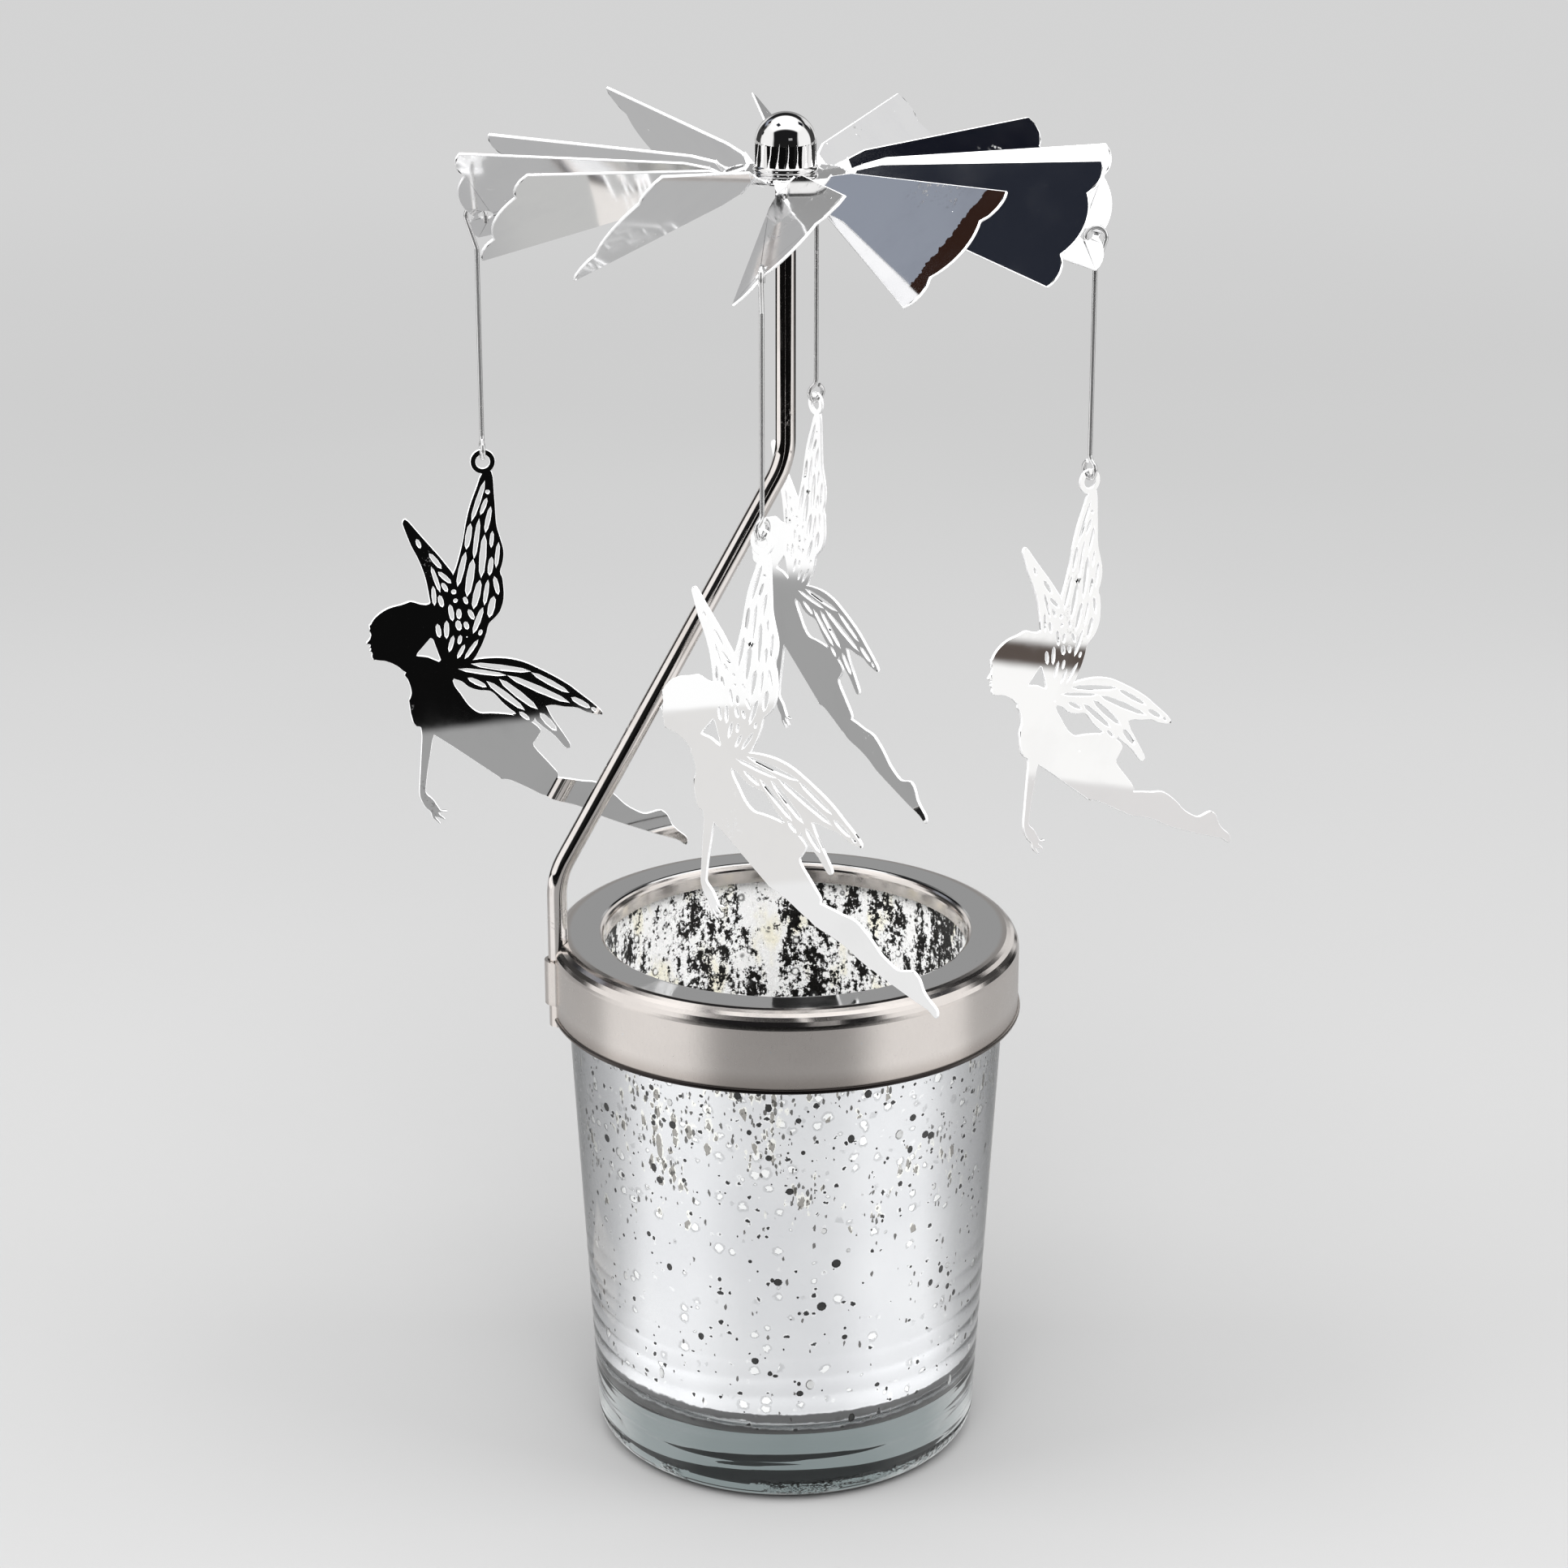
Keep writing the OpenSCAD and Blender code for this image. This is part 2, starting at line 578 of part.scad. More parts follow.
wing_low_shares = [
    [-0.120, -0.620], [-0.120, -0.660], [-0.090, -0.678], [-0.070, -0.696], [-0.040, -0.708],
    [-0.010, -0.712], [0.006, -0.720], [0.026, -0.744], [0.056, -0.782], [0.080, -0.810],
    [0.106, -0.822], [0.130, -0.814], [0.140, -0.784], [0.180, -0.770], [0.220, -0.778],
    [0.260, -0.784], [0.290, -0.800], [0.330, -0.811], [0.338, -0.808], [0.334, -0.794],
    [0.304, -0.764], [0.274, -0.738], [0.240, -0.708], [0.200, -0.680], [0.150, -0.650],
    [0.100, -0.624], [0.050, -0.610], [0.000, -0.606], [-0.050, -0.609]];
wing_trail_shares = [
    [0.130, -0.775], [0.130, -0.810], [0.146, -0.830], [0.164, -0.846], [0.190, -0.870],
    [0.218, -0.906], [0.232, -0.911], [0.238, -0.900], [0.226, -0.876], [0.204, -0.840],
    [0.180, -0.800], [0.166, -0.768], [0.150, -0.760]];
hair_shares = [
    [-0.150, -0.400], [-0.176, -0.426], [-0.200, -0.426], [-0.230, -0.416], [-0.260, -0.424],
    [-0.296, -0.432], [-0.326, -0.448], [-0.348, -0.470], [-0.357, -0.492], [-0.350, -0.520],
    [-0.300, -0.580], [-0.240, -0.600], [-0.180, -0.615], [-0.120, -0.610], [-0.110, -0.540],
    [-0.115, -0.450]];
face_shares = [
    [-0.350, -0.478], [-0.3575, -0.496], [-0.357, -0.508], [-0.355, -0.517], [-0.360, -0.527],
    [-0.369, -0.538], [-0.366, -0.543], [-0.358, -0.545], [-0.361, -0.552], [-0.357, -0.557],
    [-0.360, -0.563], [-0.354, -0.571], [-0.355, -0.582], [-0.349, -0.592], [-0.334, -0.596],
    [-0.310, -0.601], [-0.280, -0.617], [-0.256, -0.638], [-0.220, -0.640], [-0.224, -0.584],
    [-0.260, -0.560], [-0.270, -0.480]];
torso_shares = [
    [-0.170, -0.590], [-0.220, -0.588], [-0.258, -0.640], [-0.251, -0.660], [-0.244, -0.684],
    [-0.242, -0.706], [-0.249, -0.726], [-0.248, -0.752], [-0.242, -0.790], [-0.230, -0.808],
    [-0.215, -0.816], [-0.178, -0.841], [-0.120, -0.884], [-0.060, -0.931], [0.000, -0.978],
    [0.022, -0.995], [0.050, -1.002], [0.100, -1.029], [0.160, -1.061], [0.178, -1.030],
    [0.198, -0.993], [0.168, -0.950], [0.126, -0.896], [0.134, -0.874], [0.148, -0.846],
    [0.110, -0.810], [0.060, -0.790], [0.000, -0.781], [-0.036, -0.778], [-0.064, -0.756],
    [-0.090, -0.716], [-0.112, -0.674], [-0.090, -0.630], [-0.110, -0.590]];
leg_shares = [
    [0.150, -1.050], [0.180, -1.075], [0.240, -1.094], [0.290, -1.116], [0.330, -1.140],
    [0.400, -1.170], [0.500, -1.210], [0.560, -1.232], [0.586, -1.251], [0.595, -1.240],
    [0.589, -1.222], [0.566, -1.202], [0.547, -1.180], [0.534, -1.150], [0.517, -1.133],
    [0.500, -1.131], [0.480, -1.136], [0.456, -1.137], [0.420, -1.117], [0.396, -1.098],
    [0.366, -1.066], [0.316, -1.027], [0.270, -1.018], [0.210, -1.005], [0.150, -1.000]];
arm_shares = [
    [-0.216, -0.800], [-0.215, -0.840], [-0.220, -0.900], [-0.226, -0.970], [-0.230, -1.020],
    [-0.226, -1.044], [-0.214, -1.070], [-0.199, -1.086], [-0.193, -1.106], [-0.172, -1.127],
    [-0.170, -1.121], [-0.182, -1.104], [-0.158, -1.114], [-0.155, -1.109], [-0.172, -1.091],
    [-0.149, -1.091], [-0.149, -1.085], [-0.165, -1.083], [-0.174, -1.070], [-0.188, -1.046],
    [-0.207, -1.026], [-0.208, -1.006], [-0.200, -0.950], [-0.190, -0.900], [-0.183, -0.860],
    [-0.176, -0.836], [-0.180, -0.800]];
back_gap_shares = [
    [-0.092, -0.712], [-0.066, -0.754], [-0.036, -0.777], [0.000, -0.780], [0.040, -0.785],
    [0.070, -0.788], [0.050, -0.770], [0.026, -0.745], [0.006, -0.721], [-0.010, -0.712],
    [-0.040, -0.708], [-0.068, -0.696], [-0.088, -0.678], [-0.112, -0.672]];
nape_gap_shares = [
    [-0.216, -0.580], [-0.218, -0.586], [-0.186, -0.592], [-0.154, -0.608], [-0.150, -0.604],
    [-0.170, -0.540], [-0.176, -0.536]];

// Cells between the wing veins: start, end and width as shares of the blank width
cell_shares = [
    [0.002, -0.064, -0.038, -0.174, 0.012], [0.013, -0.088, 0.009, -0.097, 0.010],
    [0.007, -0.114, -0.011, -0.158, 0.010], [0.018, -0.142, 0.001, -0.213, 0.011],
    [-0.044, -0.190, -0.058, -0.262, 0.014], [-0.062, -0.278, -0.088, -0.374, 0.014],
    [-0.018, -0.180, -0.036, -0.290, 0.011], [-0.003, -0.228, -0.017, -0.351, 0.017],
    [0.021, -0.217, 0.016, -0.261, 0.008], [0.038, -0.254, 0.029, -0.322, 0.009],
    [0.016, -0.296, 0.008, -0.347, 0.012], [-0.040, -0.300, -0.061, -0.408, 0.019],
    [-0.022, -0.366, -0.043, -0.448, 0.017], [0.002, -0.368, -0.010, -0.437, 0.010],
    [0.023, -0.357, 0.032, -0.408, 0.011], [0.018, -0.418, 0.003, -0.478, 0.017],
    [-0.017, -0.452, -0.046, -0.524, 0.013], [-0.023, -0.519, -0.028, -0.533, 0.008],
    [-0.036, -0.552, -0.073, -0.602, 0.009], [-0.076, -0.564, -0.096, -0.600, 0.009],
    [-0.086, -0.533, -0.091, -0.557, 0.009], [-0.108, -0.534, -0.121, -0.578, 0.010],
    [-0.070, -0.491, -0.064, -0.512, 0.011], [-0.093, -0.486, -0.088, -0.514, 0.014],
    [-0.126, -0.486, -0.128, -0.536, 0.012], [-0.154, -0.494, -0.149, -0.532, 0.012],
    [-0.114, -0.436, -0.108, -0.482, 0.012], [-0.088, -0.450, -0.088, -0.478, 0.012],
    [-0.058, -0.454, -0.045, -0.482, 0.011], [-0.070, -0.414, -0.063, -0.433, 0.009],
    [-0.099, -0.418, -0.095, -0.426, 0.010], [-0.103, -0.389, -0.099, -0.400, 0.011],
    [-0.134, -0.367, -0.121, -0.391, 0.010], [-0.143, -0.332, -0.110, -0.365, 0.011],
    [-0.164, -0.318, -0.143, -0.388, 0.009], [-0.168, -0.274, -0.137, -0.318, 0.012],
    [-0.205, -0.228, -0.196, -0.252, 0.009], [-0.162, -0.377, -0.160, -0.430, 0.010],
    [-0.144, -0.405, -0.137, -0.438, 0.012],
    [-0.050, -0.624, 0.116, -0.657, 0.015], [-0.088, -0.638, 0.040, -0.664, 0.011],
    [-0.066, -0.668, -0.016, -0.697, 0.012], [-0.008, -0.684, 0.096, -0.776, 0.016],
    [0.030, -0.680, 0.136, -0.776, 0.018], [0.058, -0.670, 0.232, -0.762, 0.017],
    [0.130, -0.665, 0.232, -0.730, 0.013], [0.246, -0.750, 0.298, -0.784, 0.014],
    [0.306, -0.786, 0.318, -0.797, 0.008], [0.148, -0.794, 0.194, -0.850, 0.017],
    [0.086, -0.786, 0.112, -0.810, 0.010]];

// One vein cell: a long opening that narrows towards both ends
module cell(row) {
    from = [row[0], row[1]] * blank_w;
    to = [row[2], row[3]] * blank_w;
    along = (to - from) / norm(to - from);
    across = [along[1], -along[0]] * row[4] * blank_w / 2;
    eighth = (to - from) / 8;
    polygon([from, from + eighth + across * cell_shoulder_share, from + eighth * 4 + across,
             to - eighth + across * cell_shoulder_share, to, to - eighth - across * cell_shoulder_share,
             to - eighth * 4 - across, from + eighth - across * cell_shoulder_share]);
}

// Flat outline of a fairy around the centre of its ring
module fairy_plan() {
    difference() {
        union() {
            circle(r = ring_r, $fn = wire_fn * 2);
            for (shares = [wing_tall_shares, wing_small_shares, wing_low_shares, wing_trail_shares,
                           hair_shares, face_shares, torso_shares, leg_shares, arm_shares])
                polygon(smooth_loop(shares * blank_w));
        }
        circle(r = ring_hole_r, $fn = wire_fn * 2);
        polygon(smooth_loop(back_gap_shares * blank_w));
        polygon(nape_gap_shares * blank_w);
        for (row = cell_shares)
            cell(row);
    }
}

module fairy(index) {
    color("silver")
    rotate([0, 0, hanger_azimuth(index)])
    translate([hanger_axis_r(index), 0, ring_z(index)])
    rotate([0, 0, charm_yaw[index] - hanger_azimuth(index)])
    rotate([90, 0, 0])
    rotate([0, 0, charm_lean])
    translate([0, 0, -charm_t / 2])
    linear_extrude(height = charm_t)
    fairy_plan();
}

module hanger_left() hanger(0);
module hanger_front() hanger(1);
module hanger_right() hanger(2);
module hanger_back() hanger(3);
module fairy_left() fairy(0);
module fairy_front() fairy(1);
module fairy_right() fairy(2);
module fairy_back() fairy(3);

glass_cup();
collar();
pole();
fan();
dome_cap();
pivot_cup();
hub_bush();
hanger_left();
hanger_front();
hanger_right();
hanger_back();
fairy_left();
fairy_front();
fairy_right();
fairy_back();
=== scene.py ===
"""Looks of a candle carousel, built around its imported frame.

A silvered glass cup carries a plated collar with a bent pole. A bladed rotor turns on the point of
the pole, and four flat winged charms hang from it. Lengths in this file are millimetres unless a
name ends in _m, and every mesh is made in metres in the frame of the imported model.
"""

from __future__ import annotations

import json
import logging
import math
from dataclasses import dataclass
from enum import Enum
from typing import Callable, Iterable, Sequence

import bmesh
import bpy
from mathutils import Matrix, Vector
from mathutils.bvhtree import BVHTree

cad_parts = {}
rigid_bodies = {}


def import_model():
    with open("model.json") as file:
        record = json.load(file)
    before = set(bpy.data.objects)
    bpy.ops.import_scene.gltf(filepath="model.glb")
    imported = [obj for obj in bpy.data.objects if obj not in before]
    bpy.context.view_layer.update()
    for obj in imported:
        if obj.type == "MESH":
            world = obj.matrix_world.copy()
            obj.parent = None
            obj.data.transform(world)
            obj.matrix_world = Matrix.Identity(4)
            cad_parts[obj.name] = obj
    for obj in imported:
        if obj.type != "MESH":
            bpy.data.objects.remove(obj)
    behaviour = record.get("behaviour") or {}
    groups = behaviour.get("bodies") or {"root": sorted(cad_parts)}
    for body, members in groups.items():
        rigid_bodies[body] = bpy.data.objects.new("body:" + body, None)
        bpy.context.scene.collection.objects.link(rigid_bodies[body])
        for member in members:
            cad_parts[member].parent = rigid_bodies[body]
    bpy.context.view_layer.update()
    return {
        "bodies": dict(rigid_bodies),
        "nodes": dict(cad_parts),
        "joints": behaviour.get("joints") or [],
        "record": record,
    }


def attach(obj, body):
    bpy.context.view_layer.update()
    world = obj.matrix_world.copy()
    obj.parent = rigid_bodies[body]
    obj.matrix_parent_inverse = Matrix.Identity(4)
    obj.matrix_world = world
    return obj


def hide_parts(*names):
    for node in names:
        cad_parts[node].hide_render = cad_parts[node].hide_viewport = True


LOG = logging.getLogger("carousel")
MM = 0.001
Colour = tuple[float, float, float]
Outline = list[tuple[float, float]]


class Wall(Enum):
    """The two faces of the silver lining."""

    OUTER = "outer"
    INNER = "inner"


class Place(Enum):
    """Where a charm hangs, as seen by someone who faces the carousel."""

    LEFT = "left"
    FRONT = "front"
    RIGHT = "right"
    BACK = "back"


@dataclass(frozen=True)
class Stop:
    """Tone at an angle from straight behind the object, the same on both sides."""

    away: float
    colour: Colour


# Node trees


class Tree:
    """Short ways to add and join the nodes of one tree."""

    def __init__(self, tree: bpy.types.NodeTree) -> None:
        """Keeps the tree that the nodes go into."""
        self.tree = tree

    def add(self, kind: str, **settings: object) -> bpy.types.Node:
        """Adds a node.

        Args:
            kind: Blender's name of the node type.
            settings: attributes to set on the node.

        Returns:
            The new node.
        """
        node = self.tree.nodes.new(kind)
        for name, value in settings.items():
            setattr(node, name, value)
        return node

    def feed(self, socket: bpy.types.NodeSocket, value: object) -> None:
        """Joins a socket to another one, or sets its own value.

        Args:
            socket: the input.
            value: an output socket, a number, or a sequence of numbers.
        """
        if isinstance(value, bpy.types.NodeSocket):
            self.tree.links.new(value, socket)
        elif socket.type == "RGBA":
            socket.default_value = (*value, 1.0)
        else:
            socket.default_value = value

    def call(self, kind: str, inputs: dict[str | int, object], output: str | int = 0,
             **settings: object) -> object:
        """Adds a node, feeds it and gives one output.

        Args:
            kind: Blender's name of the node type.
            inputs: what goes into each named or numbered input.
            output: the output to return.
            settings: attributes to set on the node.

        Returns:
            The output socket.
        """
        node = self.add(kind, **settings)
        for key, value in inputs.items():
            self.feed(node.inputs[key], value)
        return node.outputs[output]

    def math(self, operation: str, first: object, second: object = 0.0, clamp: bool = False) -> object:
        """One arithmetic step.

        Args:
            operation: the name of the operation.
            first: first number or socket.
            second: second number or socket.
            clamp: whether the result is kept between 0 and 1.

        Returns:
            The result's socket.
        """
        return self.call("ShaderNodeMath", {0: first, 1: second}, operation=operation, use_clamp=clamp)

    def vector(self, operation: str, first: object, second: object = (0.0, 0.0, 0.0),
               output: str = "Vector") -> object:
        """One vector step.

        Args:
            operation: the name of the operation.
            first: first vector.
            second: second vector.
            output: Vector or Value.

        Returns:
            The result's socket.
        """
        return self.call("ShaderNodeVectorMath", {0: first, 1: second}, output, operation=operation)

    def ease(self, value: object, low: object, high: object, start: float = 0.0, end: float = 1.0) -> object:
        """A smooth step from start to end while value goes from low to high.

        Args:
            value: what is followed.
            low: where the step starts.
            high: where it ends.
            start: result below low.
            end: result above high.

        Returns:
            The result's socket.
        """
        inputs = {"Value": value, "From Min": low, "From Max": high, "To Min": start, "To Max": end}
        return self.call("ShaderNodeMapRange", inputs, interpolation_type="SMOOTHSTEP")

    def blend(self, factor: object, first: object, second: object, kind: str = "MIX") -> object:
        """Mixes two colours.

        Args:
            factor: share of the second colour.
            first: first colour.
            second: second colour.
            kind: how they mix.

        Returns:
            The colour socket.
        """
        node = self.add("ShaderNodeMix", data_type="RGBA", blend_type=kind)
        self.feed(node.inputs[0], factor)
        self.feed(node.inputs[6], first)
        self.feed(node.inputs[7], second)
        return node.outputs[2]

    def noise(self, vector: object, scale: float, detail: float = 2.0, roughness: float = 0.5) -> object:
        """Smooth random values between 0 and 1.

        Args:
            vector: place.
            scale: number of waves in a metre of that place.
            detail: finer layers.
            roughness: strength of the finer layers.

        Returns:
            The value's socket.
        """
        inputs = {"Vector": vector, "Scale": scale, "Detail": detail, "Roughness": roughness}
        return self.call("ShaderNodeTexNoise", inputs)

    def ramp(self, value: object, stops: Sequence[Stop]) -> object:
        """A colour that follows a value through the stops.

        Args:
            value: 0 straight behind the object to 1 straight in front of it.
            stops: angles from behind and their colours.

        Returns:
            The colour socket.
        """
        node = self.add("ShaderNodeValToRGB")
        self.feed(node.inputs[0], value)
        marks = node.color_ramp.elements
        while len(marks) < len(stops):
            marks.new(0.5)
        for mark, stop in zip(marks, stops):
            mark.position = stop.away / 180.0
            mark.color = (*stop.colour, 1.0)
        return node.outputs[0]

    def stretched(self, vector: object, scale: Sequence[float]) -> object:
        """The vector with each part multiplied."""
        return self.vector("MULTIPLY", vector, tuple(scale))

    def group(self, made: bpy.types.NodeTree, inputs: dict[str, object]) -> bpy.types.Node:
        """Places a node group.

        Args:
            made: the group.
            inputs: what goes into each named input.

        Returns:
            The group's node.
        """
        kind = "GeometryNodeGroup" if self.tree.type == "GEOMETRY" else "ShaderNodeGroup"
        node = self.add(kind, node_tree=made)
        for name, value in inputs.items():
            self.feed(node.inputs[name], value)
        return node


def new_group(name: str, kind: str, inputs: Iterable[tuple],
              outputs: Iterable[tuple]) -> tuple[Tree, bpy.types.Node, bpy.types.Node]:
    """Starts a node group with named sockets.

    Args:
        name: the group's name.
        kind: tree type.
        inputs: name, socket type and start value of each input.
        outputs: name and socket type of each output.

    Returns:
        The tree, its input node and its output node.
    """
    made = bpy.data.node_groups.new(name, kind)
    for label, socket, start in inputs:
        item = made.interface.new_socket(label, in_out="INPUT", socket_type=socket)
        if start is not None:
            item.default_value = start
    for label, socket in outputs:
        made.interface.new_socket(label, in_out="OUTPUT", socket_type=socket)
    tree = Tree(made)
    return tree, tree.add("NodeGroupInput"), tree.add("NodeGroupOutput")


class Effects:
    """Node groups that more than one finish uses, each built once."""

    _made: dict[str, bpy.types.NodeTree] = {}

    @classmethod
    def get(cls, name: str) -> bpy.types.NodeTree:
        """The group of that name, built at its first use.

        Args:
            name: the group's name.

        Returns:
            The group.
        """
        if name not in cls._made:
            cls._made[name] = getattr(cls, f"_{name}")()
        return cls._made[name]

    @staticmethod
    def _dust() -> bpy.types.NodeTree:
        """Fine specks, soft smears and scuffs on polished sheet.

        Returns:
            The group.
        """
        tree, given, out = new_group(
            "dust", "ShaderNodeTree",
            [("Vector", "NodeSocketVector", None), ("Cell", "NodeSocketFloat", 1.5),
             ("Share", "NodeSocketFloat", 0.1)],
            [("Specks", "NodeSocketFloat"), ("Smear", "NodeSocketFloat"), ("Scuff", "NodeSocketFloat")],
        )
        scale = tree.math("DIVIDE", 1000.0, given.outputs["Cell"])
        cell = tree.add("ShaderNodeTexVoronoi", feature="F1")
        tree.feed(cell.inputs["Vector"], given.outputs["Vector"])
        tree.feed(cell.inputs["Scale"], scale)
        chance = tree.call("ShaderNodeSeparateColor", {0: cell.outputs["Color"]}, 0)
        size = tree.call("ShaderNodeSeparateColor", {0: cell.outputs["Color"]}, 1)
        kept = tree.math("LESS_THAN", chance, given.outputs["Share"])
        radius = tree.math("MULTIPLY_ADD", size, 0.10)
        radius.node.inputs[2].default_value = 0.03
        dot = tree.math("LESS_THAN", cell.outputs["Distance"], radius)
        tree.feed(out.inputs["Specks"], tree.math("MULTIPLY", kept, dot))
        broad = tree.noise(given.outputs["Vector"], 90.0, 4.0, 0.65)
        tree.feed(out.inputs["Smear"], tree.ease(broad, 0.42, 0.7))
        moved = tree.vector("ADD", given.outputs["Vector"], (0.05, 0.02, 0.01))
        where = tree.ease(tree.noise(moved, 105.0, 2.0, 0.5), 0.63, 0.74)
        drawn = tree.stretched(given.outputs["Vector"], (1.0, 0.6, 1.0))
        marks = tree.ease(tree.noise(drawn, 1500.0, 3.0, 0.7), 0.54, 0.62)
        tree.feed(out.inputs["Scuff"], tree.math("MULTIPLY", where, marks))
        return tree.tree

    @staticmethod
    def _pits() -> bpy.types.NodeTree:
        """Round spots of random size, kept by chance, with frayed rims.

        Returns:
            The group.
        """
        tree, given, out = new_group(
            "pits", "ShaderNodeTree",
            [("Vector", "NodeSocketVector", None), ("Cell", "NodeSocketFloat", 2.0),
             ("Share", "NodeSocketFloat", 0.3), ("Size", "NodeSocketFloat", 0.3),
             ("Fray", "NodeSocketFloat", 0.2)],
            [("Mask", "NodeSocketFloat"), ("Rim", "NodeSocketFloat")],
        )
        scale = tree.math("DIVIDE", 1000.0, given.outputs["Cell"])
        ragged = tree.add("ShaderNodeTexNoise")
        tree.feed(ragged.inputs["Vector"], given.outputs["Vector"])
        tree.feed(ragged.inputs["Scale"], tree.math("MULTIPLY", scale, 2.3))
        tree.feed(ragged.inputs["Detail"], 2.0)
        cell = tree.add("ShaderNodeTexVoronoi", feature="F1")
        tree.feed(cell.inputs["Vector"], given.outputs["Vector"])
        tree.feed(cell.inputs["Scale"], scale)
        parts = tree.add("ShaderNodeSeparateColor")
        tree.feed(parts.inputs[0], cell.outputs["Color"])
        wobble = tree.math("MULTIPLY", tree.math("SUBTRACT", ragged.outputs[0], 0.5), given.outputs["Fray"])
        distance = tree.math("ADD", cell.outputs["Distance"], wobble)
        radius = tree.math("MULTIPLY", given.outputs["Size"], tree.math("ADD", 0.35, parts.outputs[1]))
        kept = tree.math("LESS_THAN", parts.outputs[0], given.outputs["Share"])
        inside = tree.math("DIVIDE", distance, radius)
        tree.feed(out.inputs["Mask"], tree.math("MULTIPLY", kept, tree.ease(inside, 0.8, 1.0, 1.0, 0.0)))
        ring = tree.math("MULTIPLY", tree.ease(inside, 0.7, 1.05), tree.ease(inside, 1.1, 1.6, 1.0, 0.0))
        tree.feed(out.inputs["Rim"], tree.math("MULTIPLY", kept, ring))
        return tree.tree

    @staticmethod
    def _card() -> bpy.types.NodeTree:
        """Mask of one rectangular studio card, seen in a direction from the object.

        Returns:
            The group.
        """
        tree, given, out = new_group(
            "card", "ShaderNodeTree",
            [("Direction", "NodeSocketVector", None), ("Azimuth", "NodeSocketFloat", 0.0),
             ("Elevation", "NodeSocketFloat", 0.0), ("Half width", "NodeSocketFloat", 10.0),
             ("Half height", "NodeSocketFloat", 10.0), ("Softness", "NodeSocketFloat", 1.0)],
            [("Mask", "NodeSocketFloat")],
        )
        azimuth = tree.math("RADIANS", given.outputs["Azimuth"])
        turn = tree.call("ShaderNodeVectorRotate", {"Vector": given.outputs["Direction"], "Angle": azimuth},
                         rotation_type="Z_AXIS")
        climb = tree.math("MULTIPLY", tree.math("RADIANS", given.outputs["Elevation"]), -1.0)
        level = tree.call("ShaderNodeVectorRotate", {"Vector": turn, "Angle": climb}, rotation_type="X_AXIS")
        part = tree.add("ShaderNodeSeparateXYZ")
        tree.feed(part.inputs[0], level)
        ahead = tree.math("MAXIMUM", part.outputs[1], 1e-4)
        mask: object = tree.math("GREATER_THAN", part.outputs[1], 0.0)
        for axis, label in ((0, "Half width"), (2, "Half height")):
            beside = tree.math("ABSOLUTE", part.outputs[axis])
            aside = tree.math("DEGREES", tree.math("ARCTAN2", beside, ahead))
            outer = tree.math("ADD", given.outputs[label], given.outputs["Softness"])
            inner = tree.math("SUBTRACT", given.outputs[label], given.outputs["Softness"])
            mask = tree.math("MULTIPLY", mask, tree.ease(aside, inner, outer, 1.0, 0.0))
        tree.feed(out.inputs["Mask"], mask)
        return tree.tree

    @staticmethod
    def _around() -> bpy.types.NodeTree:
        """How far round from straight behind, 0 to 1, the same on both sides.

        Returns:
            The group.
        """
        tree, given, out = new_group(
            "around", "ShaderNodeTree",
            [("Vector", "NodeSocketVector", None)],
            [("Share", "NodeSocketFloat")],
        )
        part = tree.add("ShaderNodeSeparateXYZ")
        tree.feed(part.inputs[0], given.outputs["Vector"])
        angle = tree.math("ARCTAN2", part.outputs[0], part.outputs[1])
        tree.feed(out.inputs["Share"], tree.math("DIVIDE", tree.math("ABSOLUTE", angle), math.pi))
        return tree.tree

    @staticmethod
    def _patch() -> bpy.types.NodeTree:
        """Mask of one rectangle on the studio table.

        Returns:
            The group.
        """
        tree, given, out = new_group(
            "patch", "ShaderNodeTree",
            [("Place", "NodeSocketVector", None), ("Centre", "NodeSocketVector", None),
             ("Half size", "NodeSocketVector", None), ("Softness", "NodeSocketFloat", 0.01)],
            [("Mask", "NodeSocketFloat")],
        )
        offset = tree.vector("SUBTRACT", given.outputs["Place"], given.outputs["Centre"])
        away = tree.vector("ABSOLUTE", offset)
        beyond = tree.add("ShaderNodeSeparateXYZ")
        tree.feed(beyond.inputs[0], tree.vector("SUBTRACT", away, given.outputs["Half size"]))
        low = tree.math("MULTIPLY", given.outputs["Softness"], -1.0)
        mask = tree.math("MULTIPLY",
                         tree.ease(beyond.outputs[0], low, given.outputs["Softness"], 1.0, 0.0),
                         tree.ease(beyond.outputs[1], low, given.outputs["Softness"], 1.0, 0.0))
        tree.feed(out.inputs["Mask"], mask)
        return tree.tree


# Finishes


def part_z(tree: Tree, place: object) -> object:
    """Height of a place.

    Args:
        tree: the tree that it is read in.
        place: the place.

    Returns:
        The height's socket.
    """
    part = tree.add("ShaderNodeSeparateXYZ")
    tree.feed(part.inputs[0], place)
    return part.outputs[2]


def new_material(name: str) -> tuple[bpy.types.Material, Tree, bpy.types.Node, object]:
    """Starts a material with one Principled shader.

    Args:
        name: the material's name.

    Returns:
        The material, its tree, the shader and the place on the object.
    """
    made = bpy.data.materials.new(name)
    made.use_nodes = True
    made.node_tree.nodes.clear()
    tree = Tree(made.node_tree)
    shader = tree.add("ShaderNodeBsdfPrincipled")
    out = tree.add("ShaderNodeOutputMaterial")
    tree.feed(out.inputs["Surface"], shader.outputs[0])
    place = tree.add("ShaderNodeTexCoord").outputs["Object"]
    return made, tree, shader, place


